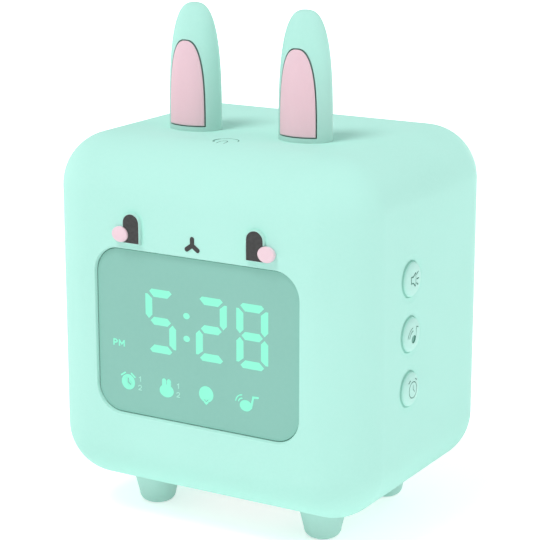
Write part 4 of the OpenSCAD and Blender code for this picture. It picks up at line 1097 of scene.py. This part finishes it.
class CLOCK_OT_keys(bpy.types.Operator):
    """Makes the six puffy keys with the signs pressed into them"""
    bl_idname = "clock.keys"
    bl_label = "Keys"

    def execute(self, context):
        edge, crown, depth, dish = sizes("key_round", "key_crown", "sign_depth", "dish_depth")
        web, floor, spring, dome = KEY_HOLE - KEY_GAP, -dish, 0.3 - dish, KEY_R - edge
        crease, crease_wide, crease_low = 0.24, 0.2, 0.05
        sign_low, sign_under = 0.1, 0.04
        for name, side in KEYS.items():
            low, high = box_mm(name)
            middle = (low.z + high.z) / 2 - BODY_Z
            proud = high.x - SIDE_X if side > 0 else -low.x - SIDE_X
            inner = SIDE_X - (low.x if side > 0 else -high.x)
            shoulder = proud - crown
            bulge = shoulder - spring
            profile = [
                (-inner, PLUNGER_R), (FLANGE_FLOOR, PLUNGER_R), (FLANGE_FLOOR, FLANGE_R),
                (FLANGE_TOP, FLANGE_R), (FLANGE_TOP, web), (floor - 0.1, web),
            ]
            profile += [
                (floor + crease * (1 - math.cos(t)), web - (web - KEY_R) * math.sin(t))
                for t in angles(15, 75, 15)
            ]
            profile += [
                (spring + bulge * math.sin(t), KEY_R - edge * (1 - math.cos(t))) for t in angles(0, 90, 9)
            ]
            shares = (0.85, 0.7, 0.55, 0.4, 0.25, 0.1)
            profile += [(shoulder + crown * (1 - k * k) ** 2, dome * k) for k in shares]
            place = on_side(side)
            key = turned(f"{name}_cap", profile, place, middle)
            sign = [[(u, middle + v) for u, v in outline] for outline in KEY_SIGNS[name]]
            combine(key, fused("sign", sign, shoulder - depth, proud + OVER, place), "DIFFERENCE")
            soften(key)
            heart = Vector((SIDE_X, KEY_Y, BODY_Z + middle))

            def dome_place(p):
                """Height over the key's side of the body and distance from its middle."""
                return abs(p.x) - SIDE_X, math.hypot(p.y - heart.y, p.z - heart.z)

            def dome_top(wide):
                if wide > dome:
                    return spring + bulge * math.sqrt(max(1 - ((wide - dome) / edge) ** 2, 0))
                return shoulder + crown * (1 - (wide / dome) ** 2) ** 2

            def dome_normal(p, poly):
                out, wide = dome_place(p)
                if out < spring + SLACK or wide > KEY_R - SLACK or abs(out - dome_top(wide)) > NEAR_DOME:
                    return None
                if wide > dome:
                    lean = (wide - dome) / edge ** 2
                    rise = (out - spring) / bulge ** 2
                else:
                    lean, rise = 4 * crown * wide / dome ** 2 * (1 - (wide / dome) ** 2), 1
                away = Vector((0, p.y - heart.y, p.z - heart.z)) / max(wide, TINY)
                normal = (away * lean + Vector((side * rise, 0, 0))).normalized()
                return normal if normal.dot(poly.normal) > ALIKE else None

            # Painted shade: the faces of the signs pressed into a key get the darker silicone
            def pressed(p, normal):
                out, wide = dome_place(p)
                return wide < KEY_R - crease_wide and sign_low < out < dome_top(wide) - sign_under

            # Painted shade: the crease round a key's foot gets the darker silicone
            def in_crease(p, normal):
                out, wide = dome_place(p)
                return KEY_R - crease_wide < wide < web - SLACK and out < spring - crease_low

            aim_normals(key, dome_normal)
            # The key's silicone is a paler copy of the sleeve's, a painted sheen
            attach(dress(key, "key_silicone"), name)
            shade_faces(key, "pressed_silicone", pressed)
            shade_faces(key, "crease_silicone", in_crease)
            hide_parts(name)
        return {"FINISHED"}


# ---------------- hard parts


class CLOCK_OT_hard_parts(bpy.types.Operator):
    """Gives the housing, the back and everything inside their finishes"""
    bl_idname = "clock.hard_parts"
    bl_label = "Hard parts"

    def execute(self, context):
        finishes = {
            "milky_plastic": (
                "front_housing", "rear_housing", "rear_panel", "battery_tray", "display_reflector",
                "light_diffuser",
            ),
            "bright_steel": (
                "housing_screws", "base_screws", "board_screws", "speaker_screws", "rear_panel_screws",
                "usb_socket", "power_switch_body", "speaker_frame",
            ),
            "black_plastic": (
                "display_mask", "key_switches_left", "key_switches_right", "control_chips", "reset_switch",
            ),
            "circuit_board": ("display_board", "key_board_left", "key_board_right", "main_board"),
            "white_board": ("light_board",),
            "led_yellow": ("display_leds", "night_light_leds"),
            "film_amber": ("display_ribbon",),
            "copper_foil": ("touch_electrode",),
            "cell_wrap": ("battery",),
            "cone_paper": ("speaker_cone",),
            "ferrite": ("speaker_magnet",),
            "charcoal_silicone": ("power_switch_knob",),
        }
        for finish, names in finishes.items():
            repaint(finish, *names)
        return {"FINISHED"}


# ---------------- stage


# Each lamp's place and width in metres, and its power in watts
LAMPS = {
    "key lamp": ((-0.43, -1.12, 2.33), 1.0, 26.6),
    "low lamp": ((-0.1, -1.1, 0.06), 0.2, 0.6),
    "side lamp": ((0.98, 0.25, 0.37), 0.8, 2.05),
    "back lamp": ((0.0, 1.2, 0.1), 0.2, 2.2),
    "left lamp": ((-1.2, 0.1, 0.1), 0.3, 1.6),
}
LIT_POINT = Vector((0, 0, 0.07))
# The camera's place in metres, its turns in degrees, and its lens and film in millimetres
EYE = (0.268217, -0.45454, 0.204528)
LOOK_DOWN, LOOK_ROUND = 14.422, 30.559
LENS, FILM = 127.22, 36
# Levels of the ground and the surroundings for lighting rays. Rays that see them find 1
GROUND_LIGHT, ROOM_LIGHT = 0.4, 0.5
# The ground's own light rises from the first level to 1 between these distances, in metres
FADE_LEVEL, FADE_START, FADE_END = 0.45, 0.4, 1.0
# How far the ground lies under the soles, and from how near it is clear, in millimetres
GROUND_DROP, CLEAR_REACH = 0.02, 0.1


def lamp(name, place, size, power):
    light = bpy.data.lights.new(name, "AREA")
    light.shape = "DISK"
    light.size = size
    light.energy = power
    obj = add(name, light)
    obj.location = place
    obj.rotation_euler = (LIT_POINT - Vector(place)).to_track_quat("-Z", "Y").to_euler()


def reckon(tree, operation, first, second):
    """A node that works out a value from a socket and from another socket or a number."""
    node = tree.nodes.new("ShaderNodeMath")
    node.operation = operation
    tree.links.new(first, node.inputs[0])
    if isinstance(second, float):
        node.inputs[1].default_value = second
    else:
        tree.links.new(second, node.inputs[1])
    return node.outputs[0]


def seen_directly(tree):
    """1 for rays that see a surface straight, in a mirror or through glass, and 0 for lighting rays."""
    path = tree.nodes.new("ShaderNodeLightPath").outputs
    sight = reckon(tree, "MAXIMUM", path["Is Camera Ray"], path["Is Glossy Ray"])
    return reckon(tree, "MAXIMUM", sight, path["Is Transmission Ray"])


class CLOCK_OT_stage(bpy.types.Operator):
    """Makes the table top, the white surroundings, the lamps and the camera"""
    bl_idname = "clock.stage"
    bl_label = "Stage"

    def execute(self, context):
        scene = context.scene
        (width,) = sizes("ground_size")
        half = width / 2
        corners = ((-half, -half), (half, -half), (half, half), (-half, half))
        ground = mesh_object("ground", [(x, y, -GROUND_DROP) for x, y in corners], [(0, 1, 2, 3)])
        paint = Finish("table top", tuple(colours().ground), 0.9, Specular_IOR_Level=0.0)
        paint.mottle(paint.noise(60, 2), darker(paint.base, 0.004))
        ground.data.materials.append(paint.material)
        tree = paint.tree
        far = paint.node("ShaderNodeVectorMath", operation="LENGTH")
        paint.link(paint.place, far.inputs[0])
        fade = paint.spread(far.outputs["Value"], FADE_LEVEL, 1, (FADE_START, FADE_END))
        light = reckon(tree, "MAXIMUM", seen_directly(tree), GROUND_LIGHT)
        glow = paint.node("ShaderNodeEmission")
        paint.link(reckon(tree, "MULTIPLY", light, fade), glow.inputs["Strength"])
        both = paint.node("ShaderNodeAddShader")
        paint.link(paint.shader.outputs[0], both.inputs[0])
        paint.link(glow.outputs[0], both.inputs[1])
        # From below, and for rays that start right on it, the ground is clear
        ray_length = paint.node("ShaderNodeLightPath").outputs["Ray Length"]
        close = reckon(tree, "LESS_THAN", ray_length, CLEAR_REACH * MM)
        below = paint.node("ShaderNodeNewGeometry").outputs["Backfacing"]
        clear = paint.node("ShaderNodeBsdfTransparent")
        shown = paint.node("ShaderNodeMixShader")
        paint.link(reckon(tree, "MAXIMUM", below, close), shown.inputs["Fac"])
        paint.link(both.outputs[0], shown.inputs[1])
        paint.link(clear.outputs[0], shown.inputs[2])
        paint.link(shown.outputs[0], tree.nodes["Material Output"].inputs["Surface"])

        world = bpy.data.worlds.new("studio")
        scene.world = world
        world.use_nodes = True
        tree = world.node_tree
        level = tree.nodes.new("ShaderNodeMapRange")
        level.inputs["To Min"].default_value = ROOM_LIGHT
        level.inputs["To Max"].default_value = 1
        tree.links.new(seen_directly(tree), level.inputs["Value"])
        tree.links.new(level.outputs["Result"], tree.nodes["Background"].inputs["Strength"])
        tree.nodes["Background"].inputs["Color"].default_value = (1, 1, 1, 1)

        for name, (place, size, power) in LAMPS.items():
            lamp(name, place, size, power)

        camera = bpy.data.cameras.new("camera")
        camera.lens = LENS
        camera.sensor_width = FILM
        camera.clip_start = 0.01
        eye = add("camera", camera)
        eye.location = EYE
        eye.rotation_euler = (math.radians(90 - LOOK_DOWN), 0, math.radians(LOOK_ROUND))
        scene.camera = eye
        scene.view_settings.view_transform = "Standard"
        return {"FINISHED"}


class CLOCK_PT_panel(bpy.types.Panel):
    bl_idname = "CLOCK_PT_panel"
    bl_label = "Night Light Alarm Clock"
    bl_space_type = "VIEW_3D"
    bl_region_type = "UI"
    bl_category = "Clock"

    def draw(self, context):
        column = self.layout.column()
        for step in STEPS:
            column.operator(step.bl_idname)
        for group in (context.scene.clock_sizes, context.scene.clock_colours):
            for name in type(group).__annotations__:
                column.prop(group, name)


STEPS = (
    CLOCK_OT_stage, CLOCK_OT_sleeve, CLOCK_OT_ears, CLOCK_OT_face, CLOCK_OT_display, CLOCK_OT_keys,
    CLOCK_OT_hard_parts,
)
CLASSES = (ClockColours, ClockSizes, *STEPS, CLOCK_PT_panel)


def register():
    for each in CLASSES:
        bpy.utils.register_class(each)
    bpy.types.Scene.clock_colours = PointerProperty(type=ClockColours)
    bpy.types.Scene.clock_sizes = PointerProperty(type=ClockSizes)


def unregister():
    del bpy.types.Scene.clock_sizes
    del bpy.types.Scene.clock_colours
    for each in reversed(CLASSES):
        bpy.utils.unregister_class(each)


def main():
    register()
    make_finishes()
    bpy.ops.clock.stage()
    bpy.ops.clock.sleeve()
    bpy.ops.clock.ears()
    bpy.ops.clock.face()
    bpy.ops.clock.display()
    bpy.ops.clock.keys()
    bpy.ops.clock.hard_parts()


if __name__ == "__main__":
    main()
